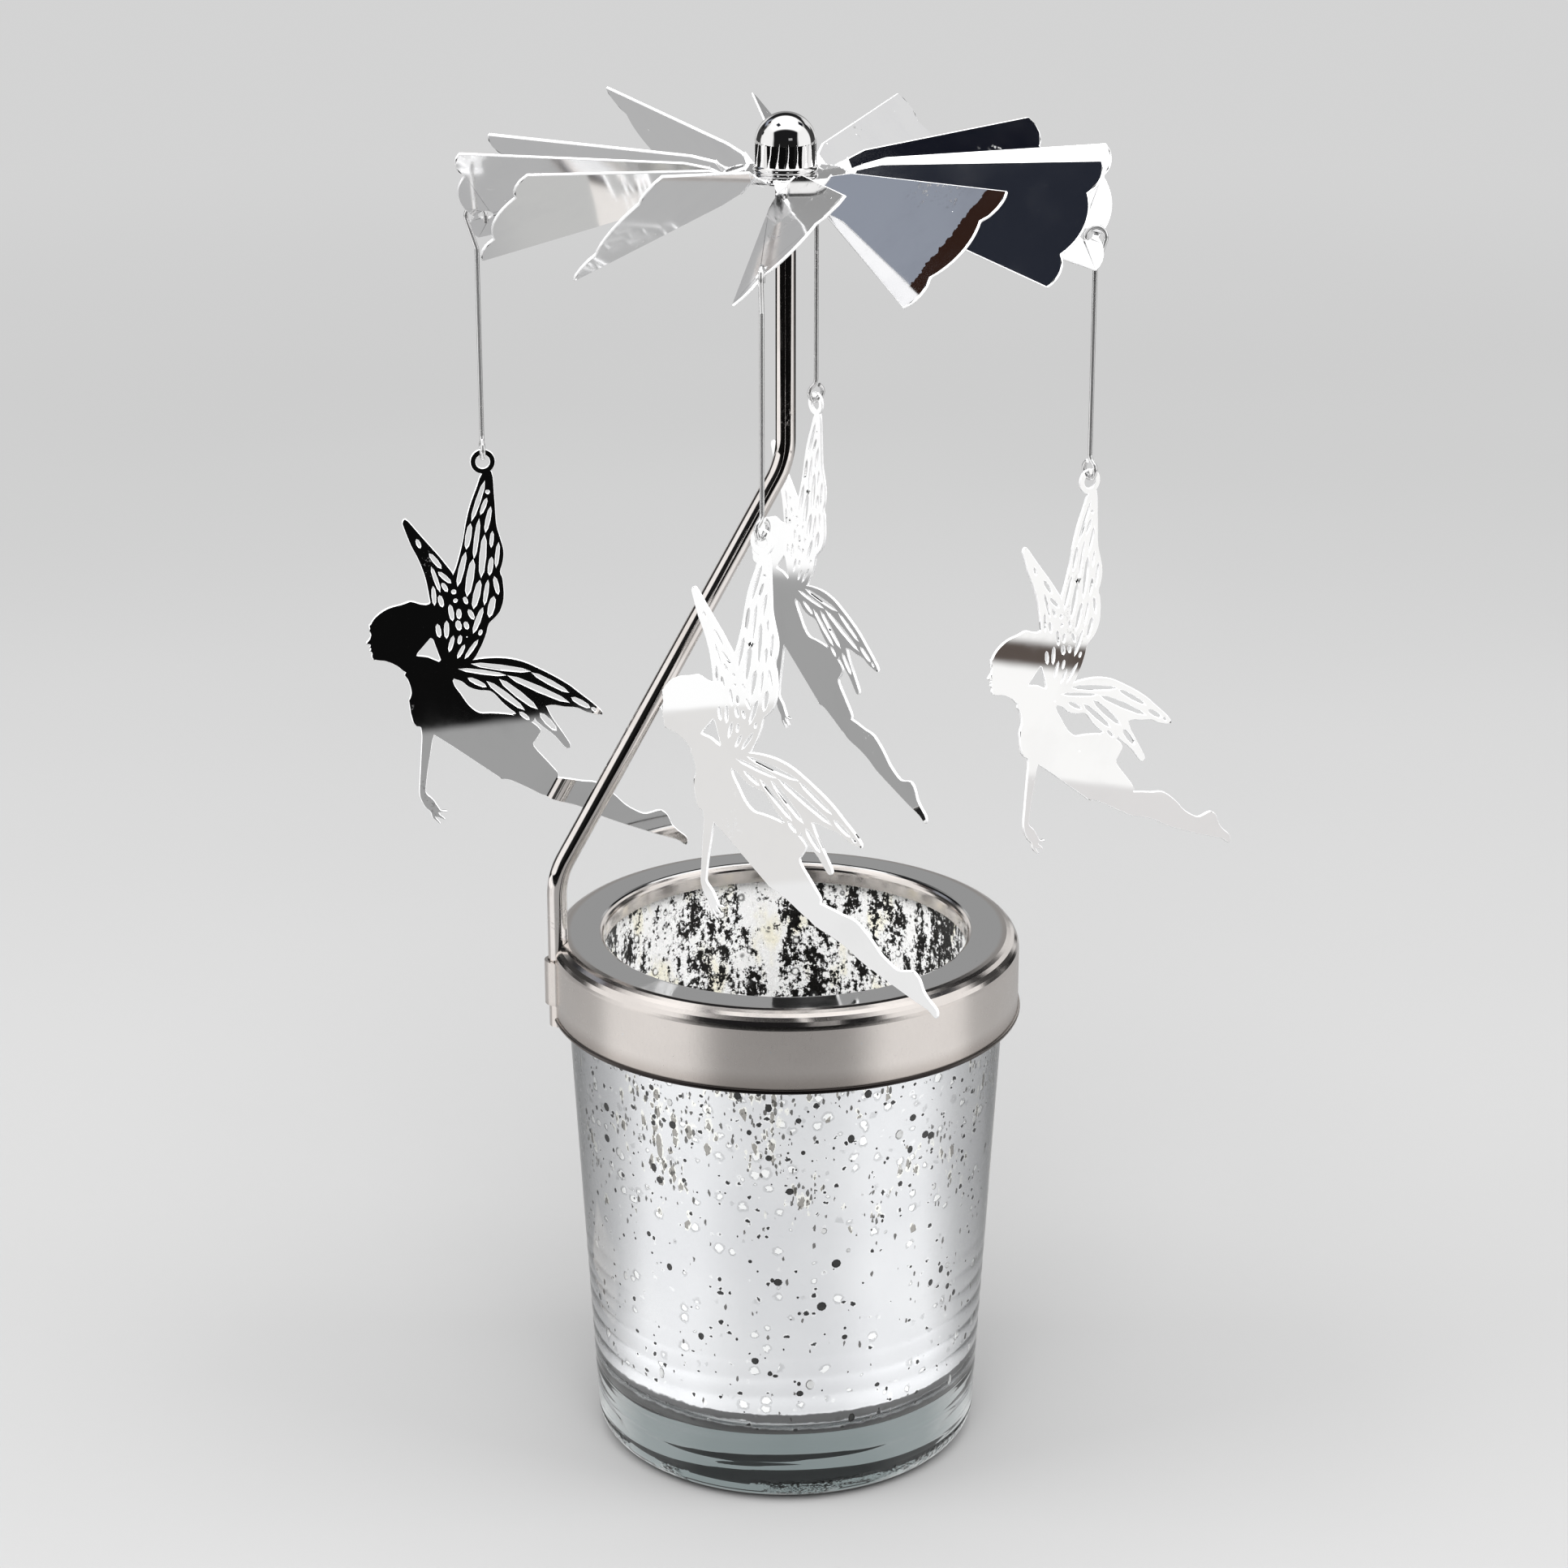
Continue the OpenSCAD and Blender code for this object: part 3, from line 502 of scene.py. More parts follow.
@dataclass(frozen=True)
class MirrorPlate:
    """Polished plating with dust and faint smears."""

    name: str
    colour: Colour
    smeared: Colour
    roughness: float = 0.03
    smear_roughness: float = 0.05
    speck_cell: float = 1.6
    speck_share: float = 0.10
    ripple: float = 0.0
    ripple_scale: float = 60.0
    tip_az: float = 0.0
    tip_r: float = 0.0
    tip_lean: float = 0.0
    bare: float = 0.0

    def build(self) -> bpy.types.Material:
        """Makes the material.

        Returns:
            The material.
        """
        made, tree, shader, place = new_material(self.name)
        dust = tree.group(Effects.get("dust"),
                          {"Vector": place, "Cell": self.speck_cell, "Share": self.speck_share})
        specks, smear = dust.outputs["Specks"], dust.outputs["Smear"]
        plated = tree.blend(smear, self.colour, self.smeared)
        tree.feed(shader.inputs["Base Color"], tree.blend(specks, plated, (0.9, 0.9, 0.9)))
        rough = tree.math("ADD", self.roughness, tree.math("MULTIPLY", smear, self.smear_roughness))
        rough = tree.math("ADD", rough, tree.math("MULTIPLY", dust.outputs["Scuff"], 0.42))
        tree.feed(shader.inputs["Roughness"], tree.math("ADD", rough, tree.math("MULTIPLY", specks, 0.5)))
        dulled = tree.math("MULTIPLY", specks, 0.8 * (1.0 - self.bare))
        tree.feed(shader.inputs["Metallic"], tree.math("SUBTRACT", 1.0 - self.bare, dulled))
        if self.ripple or self.tip_lean:
            tree.feed(shader.inputs["Normal"], self._relief(tree, place))
        return made

    def _relief(self, tree: Tree, place: object) -> object:
        """Faint waves of rolled sheet, and one blade tip that is bent down a little.

        Args:
            tree: the material's tree.
            place: place on the piece.

        Returns:
            The normal's socket.
        """
        height = tree.math("MULTIPLY", tree.noise(place, self.ripple_scale, 2.0, 0.5), self.ripple * MM)
        waves = tree.call("ShaderNodeBump", {"Strength": 1.0, "Distance": 1.0, "Height": height})
        if not self.tip_lean:
            return waves
        along = tree.call("ShaderNodeVectorRotate", {"Vector": place, "Angle": -math.radians(self.tip_az)},
                          rotation_type="Z_AXIS")
        part = tree.add("ShaderNodeSeparateXYZ")
        tree.feed(part.inputs[0], along)
        grain = tree.noise(tree.stretched(along, (0.22, 1.0, 1.0)), 900.0, 3.0, 0.6)
        brushed = tree.math("ADD", part.outputs[0], tree.math("MULTIPLY", grain, 2.2 * MM))
        bent = tree.ease(brushed, self.tip_r * MM, (self.tip_r + 0.15) * MM)
        slope = tree.math("MULTIPLY", part.outputs[0], -math.tan(math.radians(self.tip_lean)))
        return tree.call("ShaderNodeBump",
                         {"Strength": bent, "Distance": 1.0, "Height": slope, "Normal": waves})


@dataclass(frozen=True)
class SatinPlate:
    """Fine-grained plating: satin on the wall, polished on the flat top."""

    name: str
    wall: Colour
    top: Colour
    wall_roughness: float
    top_roughness: float
    top_z: float
    top_r: float
    hem_z: float

    def build(self) -> bpy.types.Material:
        """Makes the material.

        Returns:
            The material.
        """
        made, tree, shader, place = new_material(self.name)
        part = tree.add("ShaderNodeSeparateXYZ")
        tree.feed(part.inputs[0], place)
        across = tree.vector("MULTIPLY", place, (1.0, 1.0, 0.0))
        reach = tree.vector("LENGTH", across, output="Value")
        on_top = tree.math("MULTIPLY",
                           tree.ease(part.outputs[2], (self.top_z - 0.25) * MM, (self.top_z - 0.05) * MM),
                           tree.ease(reach, (self.top_r - 0.5) * MM, (self.top_r + 0.3) * MM, 1.0, 0.0))
        grain = tree.noise(tree.stretched(place, (1.0, 1.0, 0.35)), 2600.0, 3.0, 0.7)
        cloud = tree.noise(place, 70.0, 3.0, 0.6)
        dust = tree.group(Effects.get("dust"), {"Vector": place, "Cell": 2.2, "Share": 0.07})
        toned = tree.blend(tree.ease(cloud, 0.3, 0.7), self.wall, tuple(0.94 * c for c in self.wall))
        toned = tree.blend(tree.math("MULTIPLY", grain, 0.08), toned, (0.35, 0.33, 0.33))
        # Painted shade: the lower wall is darkened and browned towards the hem.
        foot = tree.math("ADD", part.outputs[2], tree.math("MULTIPLY", cloud, 1.2 * MM))
        painted_low_shade = tree.ease(foot, (self.hem_z + 1.2) * MM, (self.hem_z + 4.2) * MM, 1.0, 0.0)
        toned = tree.blend(tree.math("MULTIPLY", painted_low_shade, 0.55), toned, (0.42, 0.36, 0.32))
        # Painted shadow: a near-black line along the lowest millimetre of the wall, strongest on the front
        # side.
        painted_hem_shadow = tree.ease(part.outputs[2], (self.hem_z + 0.6) * MM, (self.hem_z + 1.0) * MM, 1.0, 0.0)
        facing = tree.ease(tree.math("MULTIPLY", part.outputs[1], -1.0), 6.0 * MM, 30.0 * MM, 0.15, 0.97)
        toned = tree.blend(tree.math("MULTIPLY", painted_hem_shadow, facing), toned, (0.02, 0.016, 0.016))
        colour = tree.blend(on_top, toned, self.top)
        tree.feed(shader.inputs["Base Color"], tree.blend(dust.outputs["Specks"], colour, (0.8, 0.8, 0.8)))
        worn = tree.ease(part.outputs[2], (self.top_z - 2.7) * MM, (self.top_z - 2.1) * MM)
        satin = tree.math("ADD", self.wall_roughness, tree.math("MULTIPLY", grain, 0.08))
        satin = tree.math("SUBTRACT", satin, tree.math("MULTIPLY", worn, self.wall_roughness - 0.10))
        polish = tree.math("ADD", self.top_roughness, tree.math("MULTIPLY", dust.outputs["Smear"], 0.05))
        spread = tree.add("ShaderNodeMix", data_type="FLOAT")
        for socket, value in zip(spread.inputs[0:1] + spread.inputs[2:4], (on_top, satin, polish)):
            tree.feed(socket, value)
        tree.feed(shader.inputs["Roughness"], spread.outputs[0])
        shader.inputs["Metallic"].default_value = 1.0
        weight = tree.math("MULTIPLY", tree.math("SUBTRACT", 1.0, on_top), 0.16)
        bump = tree.call("ShaderNodeBump", {"Strength": weight, "Distance": 0.02 * MM, "Height": grain})
        tree.feed(shader.inputs["Normal"], bump)
        return made


@dataclass(frozen=True)
class CutEdgeHighlight:
    """Bright sheared or etched edge of thin sheet; its near-white colour is a painted highlight."""

    name: str
    # Near-white: painted highlight of the light that the edge catches.
    colour: Colour = (0.99, 0.99, 0.99)

    def build(self) -> bpy.types.Material:
        """Makes the material.

        Returns:
            The material.
        """
        made, tree, shader, place = new_material(self.name)
        grain = tree.noise(place, 1500.0, 3.0, 0.6)
        toned = tree.blend(tree.ease(grain, 0.3, 0.8), self.colour, (0.88, 0.88, 0.89))
        tree.feed(shader.inputs["Base Color"], toned)
        tree.feed(shader.inputs["Roughness"], tree.ease(grain, 0.2, 0.8, 0.12, 0.28))
        shader.inputs["Metallic"].default_value = 0.35
        return made


@dataclass(frozen=True)
class PressedGlass:
    """Clear pressed glass that looks greener where it is thick, with a stippled heel that carries painted
    reflections as dark dashes.
    """

    name: str
    clear: Colour
    thick: Colour
    foot_z: float
    flat_r: float
    stipple_low: float = 3.4
    stipple_high: float = 4.2
    stipple_depth: float = 0.70
    cord_depth: float = 0.007
    heel_reflection_dashes: Colour = (0.03, 0.03, 0.025)

    def build(self) -> bpy.types.Material:
        """Makes the material.

        Returns:
            The material.
        """
        made, tree, shader, place = new_material(self.name)
        part = tree.add("ShaderNodeSeparateXYZ")
        tree.feed(part.inputs[0], place)
        low = tree.ease(part.outputs[2], 0.3 * self.foot_z * MM, 1.4 * self.foot_z * MM, 1.0, 0.0)
        cord = tree.noise(tree.stretched(place, (1.0, 1.0, 3.0)), 40.0, 2.0, 0.5)
        tint = tree.blend(low, self.clear, self.thick)
        shade = tree.blend(tree.math("MULTIPLY", cord, 0.12), tint, self.thick)
        shader.inputs["Roughness"].default_value = 0.0
        shader.inputs["IOR"].default_value = 1.5
        shader.inputs["Transmission Weight"].default_value = 1.0
        reach = tree.vector("LENGTH", tree.vector("MULTIPLY", place, (1.0, 1.0, 0.0)), output="Value")
        heel = tree.ease(part.outputs[2], self.stipple_low * MM, self.stipple_high * MM, 1.0, 0.0)
        outside = tree.ease(reach, (self.flat_r - 0.6) * MM, (self.flat_r + 0.3) * MM)
        ring = tree.math("MULTIPLY", heel, outside)
        ring = tree.math("MULTIPLY", ring, tree.ease(tree.noise(place, 70.0, 2.0, 0.5), 0.44, 0.54))
        # Painted reflection: dark dashes in the heel's colour stand in for the silver's specks seen in it.
        moved = tree.vector("ADD", place, (0.03, 0.01, 0.02))
        painted_reflection_mask = tree.math("MULTIPLY", ring, tree.ease(tree.noise(moved, 1500.0, 1.0, 0.5), 0.55, 0.59))
        tree.feed(shader.inputs["Base Color"], tree.blend(painted_reflection_mask, shade, self.heel_reflection_dashes))
        stipple = tree.math("MULTIPLY", tree.noise(place, 900.0, 2.0, 0.6),
                            tree.math("MULTIPLY", ring, self.stipple_depth * MM))
        relief = tree.math("ADD", stipple, tree.math("MULTIPLY", cord, self.cord_depth * MM))
        bump = tree.call("ShaderNodeBump", {"Strength": 1.0, "Distance": 1.0, "Height": relief})
        tree.feed(shader.inputs["Normal"], bump)
        return made


@dataclass(frozen=True)
class Spots:
    """One layer of spots: cell size, share of the cells that hold one, extra share where they crowd."""

    cell: float
    share: float
    extra: float
    size: float
    fray: float = 0.2


@dataclass(frozen=True)
class SilverCoat:
    """Speckled silver on glass, calm outside and strongly mottled inside."""

    name: str
    wall: Wall
    low_z: float
    high_z: float
    specks: Spots = Spots(1.35, 0.17, 0.20, 0.25, 0.6)
    white: Spots = Spots(1.7, 0.13, 0.24, 0.34, 0.5)
    eaten: Spots = Spots(1.0, 0.0, 0.55, 0.42, 0.8)
    fine: Spots = Spots(0.55, 0.04, 0.60, 0.40, 0.6)
    beads: Spots = Spots(1.5, 0.25, 0.0, 0.30)

    def build(self) -> bpy.types.Material:
        """Makes the material of the chosen face.

        Returns:
            The material.
        """
        made, tree, shader, place = new_material(self.name)
        part = tree.add("ShaderNodeSeparateXYZ")
        tree.feed(part.inputs[0], place)
        height = tree.ease(part.outputs[2], self.low_z * MM, self.high_z * MM)
        if self.wall is Wall.OUTER:
            self._outside(tree, shader, place, height)
        else:
            self._inside(tree, shader, place, height)
        return made

    @staticmethod
    def _spots(tree: Tree, place: object, layer: Spots, crowd: object = 0.0) -> bpy.types.Node:
        """Puts in one layer of spots.

        Args:
            tree: the material's tree.
            place: where the pattern is read.
            layer: the layer's sizes and shares.
            crowd: mask of where the spots crowd.

        Returns:
            The node with the mask and the rim.
        """
        share = tree.math("ADD", layer.share, tree.math("MULTIPLY", crowd, layer.extra))
        inputs = {"Vector": place, "Cell": layer.cell, "Share": share, "Size": layer.size, "Fray": layer.fray}
        return tree.group(Effects.get("pits"), inputs)

    def _outside(self, tree: Tree, shader: bpy.types.Node, place: object, height: object) -> None:
        """Bright silver with dark, white and yellowish spots that crowd towards the top.

        Args:
            tree: the material's tree.
            shader: its shader.
            place: place on the piece.
            height: 0 at the foot to 1 at the top.
        """
        crowd = tree.ease(height, 0.55, 0.93)
        cloud = tree.noise(place, 45.0, 3.0, 0.55)
        patchy = tree.ease(tree.noise(tree.stretched(place, (1.0, 1.0, 0.7)), 85.0, 2.0, 0.5), 0.46, 0.64)
        base = tree.blend(tree.ease(cloud, 0.3, 0.7), (0.79, 0.793, 0.81), (0.75, 0.753, 0.775))
        tall = tree.stretched(place, (1.0, 1.0, 0.45))
        shifted = tree.vector("ADD", place, (0.013, 0.021, 0.007))
        moved = tree.vector("ADD", tall, (-0.031, 0.011, 0.017))
        crowded = tree.math("MULTIPLY", crowd, patchy)
        specks = self._spots(tree, place, self.specks, crowd)
        white = self._spots(tree, shifted, self.white, crowd)
        eaten = self._spots(tree, moved, self.eaten, crowded)
        fine = self._spots(tree, moved, self.fine, crowded)
        colour = tree.blend(tree.math("MULTIPLY", white.outputs["Rim"], 0.35), base, (0.34, 0.34, 0.35))
        colour = tree.blend(white.outputs["Mask"], colour, (1.0, 1.0, 1.0))
        colour = tree.blend(tree.math("MULTIPLY", eaten.outputs["Rim"], 0.8), colour, (1.0, 0.99, 0.93))
        colour = tree.blend(tree.math("MULTIPLY", eaten.outputs["Mask"], 0.75), colour, (0.22, 0.20, 0.165))
        colour = tree.blend(tree.math("MULTIPLY", fine.outputs["Mask"], 0.8), colour, (0.13, 0.12, 0.105))
        # Painted highlight: a white rim around each dark speck.
        colour = tree.blend(tree.math("MULTIPLY", specks.outputs["Rim"], 0.5), colour, (1.0, 1.0, 1.0))
        colour = tree.blend(specks.outputs["Mask"], colour, (0.025, 0.025, 0.027))
        # Painted shadow: a ragged near-black ring just below the collar's edge. The lowest 2.3 mm of the
        # lining (bare) and a ring 3.4 to 5.2 mm above the floor (line) are painted near-black too.
        torn = tree.math("MULTIPLY", tree.noise(place, 420.0, 3.0, 0.7), 1.1 * MM)
        ragged = tree.math("ADD", part_z(tree, place), torn)
        collar_shadow_and_low_bands = tree.math("MULTIPLY", tree.ease(ragged, (self.high_z - 0.35) * MM, (self.high_z + 0.1) * MM),
                         tree.ease(ragged, (self.high_z + 1.2) * MM, (self.high_z + 1.7) * MM, 1.0, 0.0))
        bare = tree.ease(ragged, (self.low_z + 2.3) * MM, (self.low_z + 2.8) * MM, 1.0, 0.0)
        line = tree.math("MULTIPLY", tree.ease(ragged, (self.low_z + 3.4) * MM, (self.low_z + 3.6) * MM),
                         tree.ease(ragged, (self.low_z + 4.8) * MM, (self.low_z + 5.2) * MM, 1.0, 0.0))
        collar_shadow_and_low_bands = tree.math("MAXIMUM", tree.math("MAXIMUM", collar_shadow_and_low_bands, bare), tree.math("MULTIPLY", line, 0.85))
        colour = tree.blend(tree.math("MULTIPLY", collar_shadow_and_low_bands, 0.93), colour, (0.02, 0.018, 0.018))
        tree.feed(shader.inputs["Base Color"], colour)
        dark = tree.math("MAXIMUM", tree.math("MAXIMUM", specks.outputs["Mask"], fine.outputs["Mask"]), collar_shadow_and_low_bands)
        tree.feed(shader.inputs["Metallic"], tree.math("SUBTRACT", 1.0, tree.math("MULTIPLY", dark, 0.9)))
        fog = tree.math("ADD", 0.13, tree.math("MULTIPLY", cloud, 0.08))
        tree.feed(shader.inputs["Roughness"], tree.math("ADD", fog, tree.math("MULTIPLY", dark, 0.25)))
        relief = tree.math("ADD", tree.math("MULTIPLY", tree.noise(place, 260.0, 3.0, 0.6), 0.35),
                           tree.math("ADD", tree.math("MULTIPLY", white.outputs["Mask"], 0.5),
                                     tree.math("MULTIPLY", eaten.outputs["Mask"], 0.7)))
        bump = tree.call("ShaderNodeBump", {"Strength": 0.5, "Distance": 0.10 * MM, "Height": relief})
        tree.feed(shader.inputs["Normal"], bump)

    def _inside(self, tree: Tree, shader: bpy.types.Node, place: object, height: object) -> None:
        """Black, white and straw-coloured mottling with runs down the wall.

        Args:
            tree: the material's tree.
            shader: its shader.
            place: place on the piece.
            height: 0 at the foot to 1 at the top.
        """
        tall = tree.stretched(place, (1.0, 1.0, 0.28))
        runs = tree.noise(tall, 330.0, 5.0, 0.75)
        mottle = tree.noise(place, 950.0, 4.0, 0.75)
        broad = tree.noise(tree.stretched(place, (1.0, 1.0, 0.12)), 62.0, 2.0, 0.5)
        level = tree.math("ADD", tree.math("MULTIPLY", runs, 0.55), tree.math("MULTIPLY", mottle, 0.45))
        level = tree.math("ADD", level, tree.math("MULTIPLY", tree.math("SUBTRACT", broad, 0.5), 0.22))
        light = tree.ease(level, 0.487, 0.507)
        straw = tree.ease(tree.noise(tree.stretched(place, (1.0, 1.0, 0.5)), 180.0, 3.0, 0.6), 0.52, 0.68)
        bright = tree.blend(straw, (0.97, 0.97, 0.97), (0.95, 0.915, 0.77))
        beads = self._spots(tree, place, self.beads)
        colour = tree.blend(light, (0.006, 0.0055, 0.005), bright)
        colour = tree.blend(tree.math("MULTIPLY", beads.outputs["Mask"], 0.9), colour, (0.99, 0.99, 0.98))
        colour = tree.blend(tree.math("MULTIPLY", beads.outputs["Rim"], 0.8), colour, (0.03, 0.03, 0.03))
        tree.feed(shader.inputs["Base Color"], colour)
        tree.feed(shader.inputs["Metallic"], tree.ease(height, 0.0, 0.1, 0.2, 0.3))
        tree.feed(shader.inputs["Roughness"], tree.ease(mottle, 0.3, 0.7, 0.12, 0.4))
        bump = tree.call("ShaderNodeBump", {"Strength": 0.35, "Distance": 0.12 * MM, "Height": level})
        tree.feed(shader.inputs["Normal"], bump)


@dataclass(frozen=True)
class Bead:
    """Drop of silver or bare pit, as a solid of its own."""

    name: str
    colour: Colour
    shade: Colour
    metallic: float
    roughness: float

    def build(self) -> bpy.types.Material:
        """Makes the material.

        Returns:
            The material.
        """
        made, tree, shader, place = new_material(self.name)
        grain = tree.noise(place, 900.0, 2.0, 0.5)
        tree.feed(shader.inputs["Base Color"],
                  tree.blend(tree.ease(grain, 0.35, 0.7), self.colour, self.shade))
        tree.feed(shader.inputs["Roughness"],
                  tree.ease(grain, 0.2, 0.8, self.roughness, self.roughness + 0.15))
        shader.inputs["Metallic"].default_value = self.metallic
        return made


# Meshes


def add_object(name: str, mesh: bpy.types.Mesh, materials: Sequence[bpy.types.Material]) -> bpy.types.Object:
    """Puts a mesh in the scene.

    Args:
        name: the piece's name.
        mesh: its mesh, in place.
        materials: its materials in slot order.

    Returns:
        The object.
    """
    mesh.name = name
    if mesh.materials:
        mesh.materials.clear()
    for finish in materials:
        mesh.materials.append(finish)
    made = bpy.data.objects.new(name, mesh)
    bpy.context.scene.collection.objects.link(made)
    return made


def turned(outline: Outline, sides: int,
           offset: Callable[[float, float, float], float] | None = None) -> bpy.types.Mesh:
    """Turns a closed outline around the Z axis.

    Args:
        outline: points (radius, height), counter-clockwise, first and last on the axis or the loop closed.
        sides: steps around.
        offset: change of radius at (radius, height, angle).

    Returns:
        The mesh, with poles closed.
    """
    points: list[tuple[float, float, float]] = []
    rings: list[list[int]] = []
    for radius, height in outline:
        if radius < 1e-6:
            rings.append([len(points)] * sides)
            points.append((0.0, 0.0, height * MM))
            continue
        ring = []
        for k in range(sides):
            angle = 2 * math.pi * k / sides
            r = radius + (offset(radius, height, angle) if offset else 0.0)
            ring.append(len(points))
            points.append((r * math.cos(angle) * MM, r * math.sin(angle) * MM, height * MM))
        rings.append(ring)
    closed = outline[0][0] > 1e-6 and outline[-1][0] > 1e-6
    pairs = list(zip(rings, rings[1:] + rings[:1] if closed else rings[1:]))
    faces = []
    for low, high in pairs:
        for k in range(sides):
            n = (k + 1) % sides
            corner = [low[k], low[n], high[n], high[k]]
            face = [v for i, v in enumerate(corner) if v != corner[i - 1]]
            if len(face) > 2:
                faces.append(face)
    mesh = bpy.data.meshes.new("turned")
    mesh.from_pydata(points, [], faces)
    mesh.validate()
    mesh.shade_smooth()
    mesh.update()
    return mesh


def arc(centre: tuple[float, float], radius: float, start: float, end: float, steps: int = 10) -> Outline:
    """Points of an arc, both ends included.

    Args:
        centre: its centre.
        radius: its radius.
        start: first angle in degrees.
        end: last angle in degrees.
        steps: number of steps.

    Returns:
        The points.
    """
    angles = [math.radians(start + (end - start) * i / steps) for i in range(steps + 1)]
    return [(centre[0] + radius * math.cos(a), centre[1] + radius * math.sin(a)) for a in angles]


def filled(outline: Outline, step: float) -> Outline:
    """The outline with points added along its long straight runs.

    Args:
        outline: the points.
        step: longest run that stays as it is.

    Returns:
        The denser outline.
    """
    made: Outline = []
    for start, end in zip(outline, outline[1:]):
        count = max(1, math.ceil(math.dist(start, end) / step))
        made += [tuple(a + (b - a) * i / count for a, b in zip(start, end)) for i in range(count)]
    return made + [outline[-1]]


def mark_creases(mesh: bpy.types.Mesh, crease: float) -> None:
    """Makes the faces smooth and the creases sharp.

    Args:
        mesh: a joined mesh.
        crease: angle in degrees from which an edge is sharp.
    """
    mesh.shade_smooth()
    mesh.set_sharp_from_angle(angle=math.radians(crease))


def merged_copy(frame: dict, node: str, name: str, materials: Sequence[bpy.types.Material],
                crease: float = 32.0) -> bpy.types.Object:
    """A joined copy of a CAD node.

    Args:
        frame: the loaded frame.
        node: the CAD node.
        name: name of the new piece.
        materials: its materials.
        crease: angle in degrees from which an edge is sharp.

    Returns:
        The new piece.
    """
    mesh = frame["nodes"][node].data.copy()
    if "custom_normal" in mesh.attributes:
        mesh.attributes.remove(mesh.attributes["custom_normal"])
    work = bmesh.new()
    work.from_mesh(mesh)
    bmesh.ops.remove_doubles(work, verts=work.verts, dist=0.002 * MM)
    bmesh.ops.dissolve_degenerate(work, edges=work.edges, dist=0.001 * MM)
    for face in work.faces:
        face.material_index = 0
    work.to_mesh(mesh)
    work.free()
    mark_creases(mesh, crease)
    return add_object(name, mesh, materials)


def mark_cut_edges(mesh: bpy.types.Mesh, thickness: float) -> None:
    """Gives the second material to the faces across the sheet's thickness.

    Args:
        mesh: a joined mesh of bent sheet.
        thickness: sheet thickness.
    """
    work = bmesh.new()
    work.from_mesh(mesh)
    tree = BVHTree.FromBMesh(work)
    skin = 0.01 * MM
    for face in work.faces:
        start = face.calc_center_median() - face.normal * skin
        hit = tree.ray_cast(start, -face.normal, 1.5 * thickness * MM)
        face.material_index = 0 if hit[0] is not None and hit[3] < 1.2 * thickness * MM else 1
    work.to_mesh(mesh)
    work.free()


def soften_edges(piece: bpy.types.Object, width: float, angle: float = 50.0) -> None:
    """Rounds the sheared edges of a sheet piece.

    Args:
        piece: the piece.
        width: width of the rounding.
        angle: angle in degrees from which an edge is rounded.
    """
    bevel = piece.modifiers.new("rounded edges", "BEVEL")
    bevel.width = width * MM
    bevel.segments = 2
    bevel.limit_method = "ANGLE"
    bevel.angle_limit = math.radians(angle)
    bevel.use_clamp_overlap = False
    bevel.material = 1
    bevel.harden_normals = False


def grown(piece: bpy.types.Object, tree: bpy.types.NodeTree, inputs: dict[str, object], name: str,
          materials: Sequence[bpy.types.Material]) -> bpy.types.Object:
    """Runs a geometry tree on a piece and keeps the result as a plain mesh.

    Args:
        piece: what the tree starts from; it is removed afterwards.
        tree: the geometry tree.
        inputs: value of each named input.
        name: name of the result.
        materials: materials of the result.

    Returns:
        The new piece.
    """
    modifier = piece.modifiers.new("grow", "NODES")
    modifier.node_group = tree
    sockets = {item.name: item.identifier for item in tree.interface.items_tree if item.item_type == "SOCKET"}
    for label, value in inputs.items():
        modifier[sockets[label]] = value
    graph = bpy.context.evaluated_depsgraph_get()
    graph.update()
    mesh = bpy.data.meshes.new_from_object(piece.evaluated_get(graph))
    piece.modifiers.remove(modifier)
    bpy.data.objects.remove(piece)
    mesh.materials.clear()
    return add_object(name, mesh, materials)


# Sub-assemblies


@dataclass(frozen=True)
class Strewn:
    """Drops or pits strewn over the silver, so many to the square metre and more at the top."""

    name: str
    finish: Bead
    seed: int
    density: float
    top_share: float
    smallest: float
    largest: float
    flatness: float
    low_z: float = 45.0
    high_z: float = 69.0


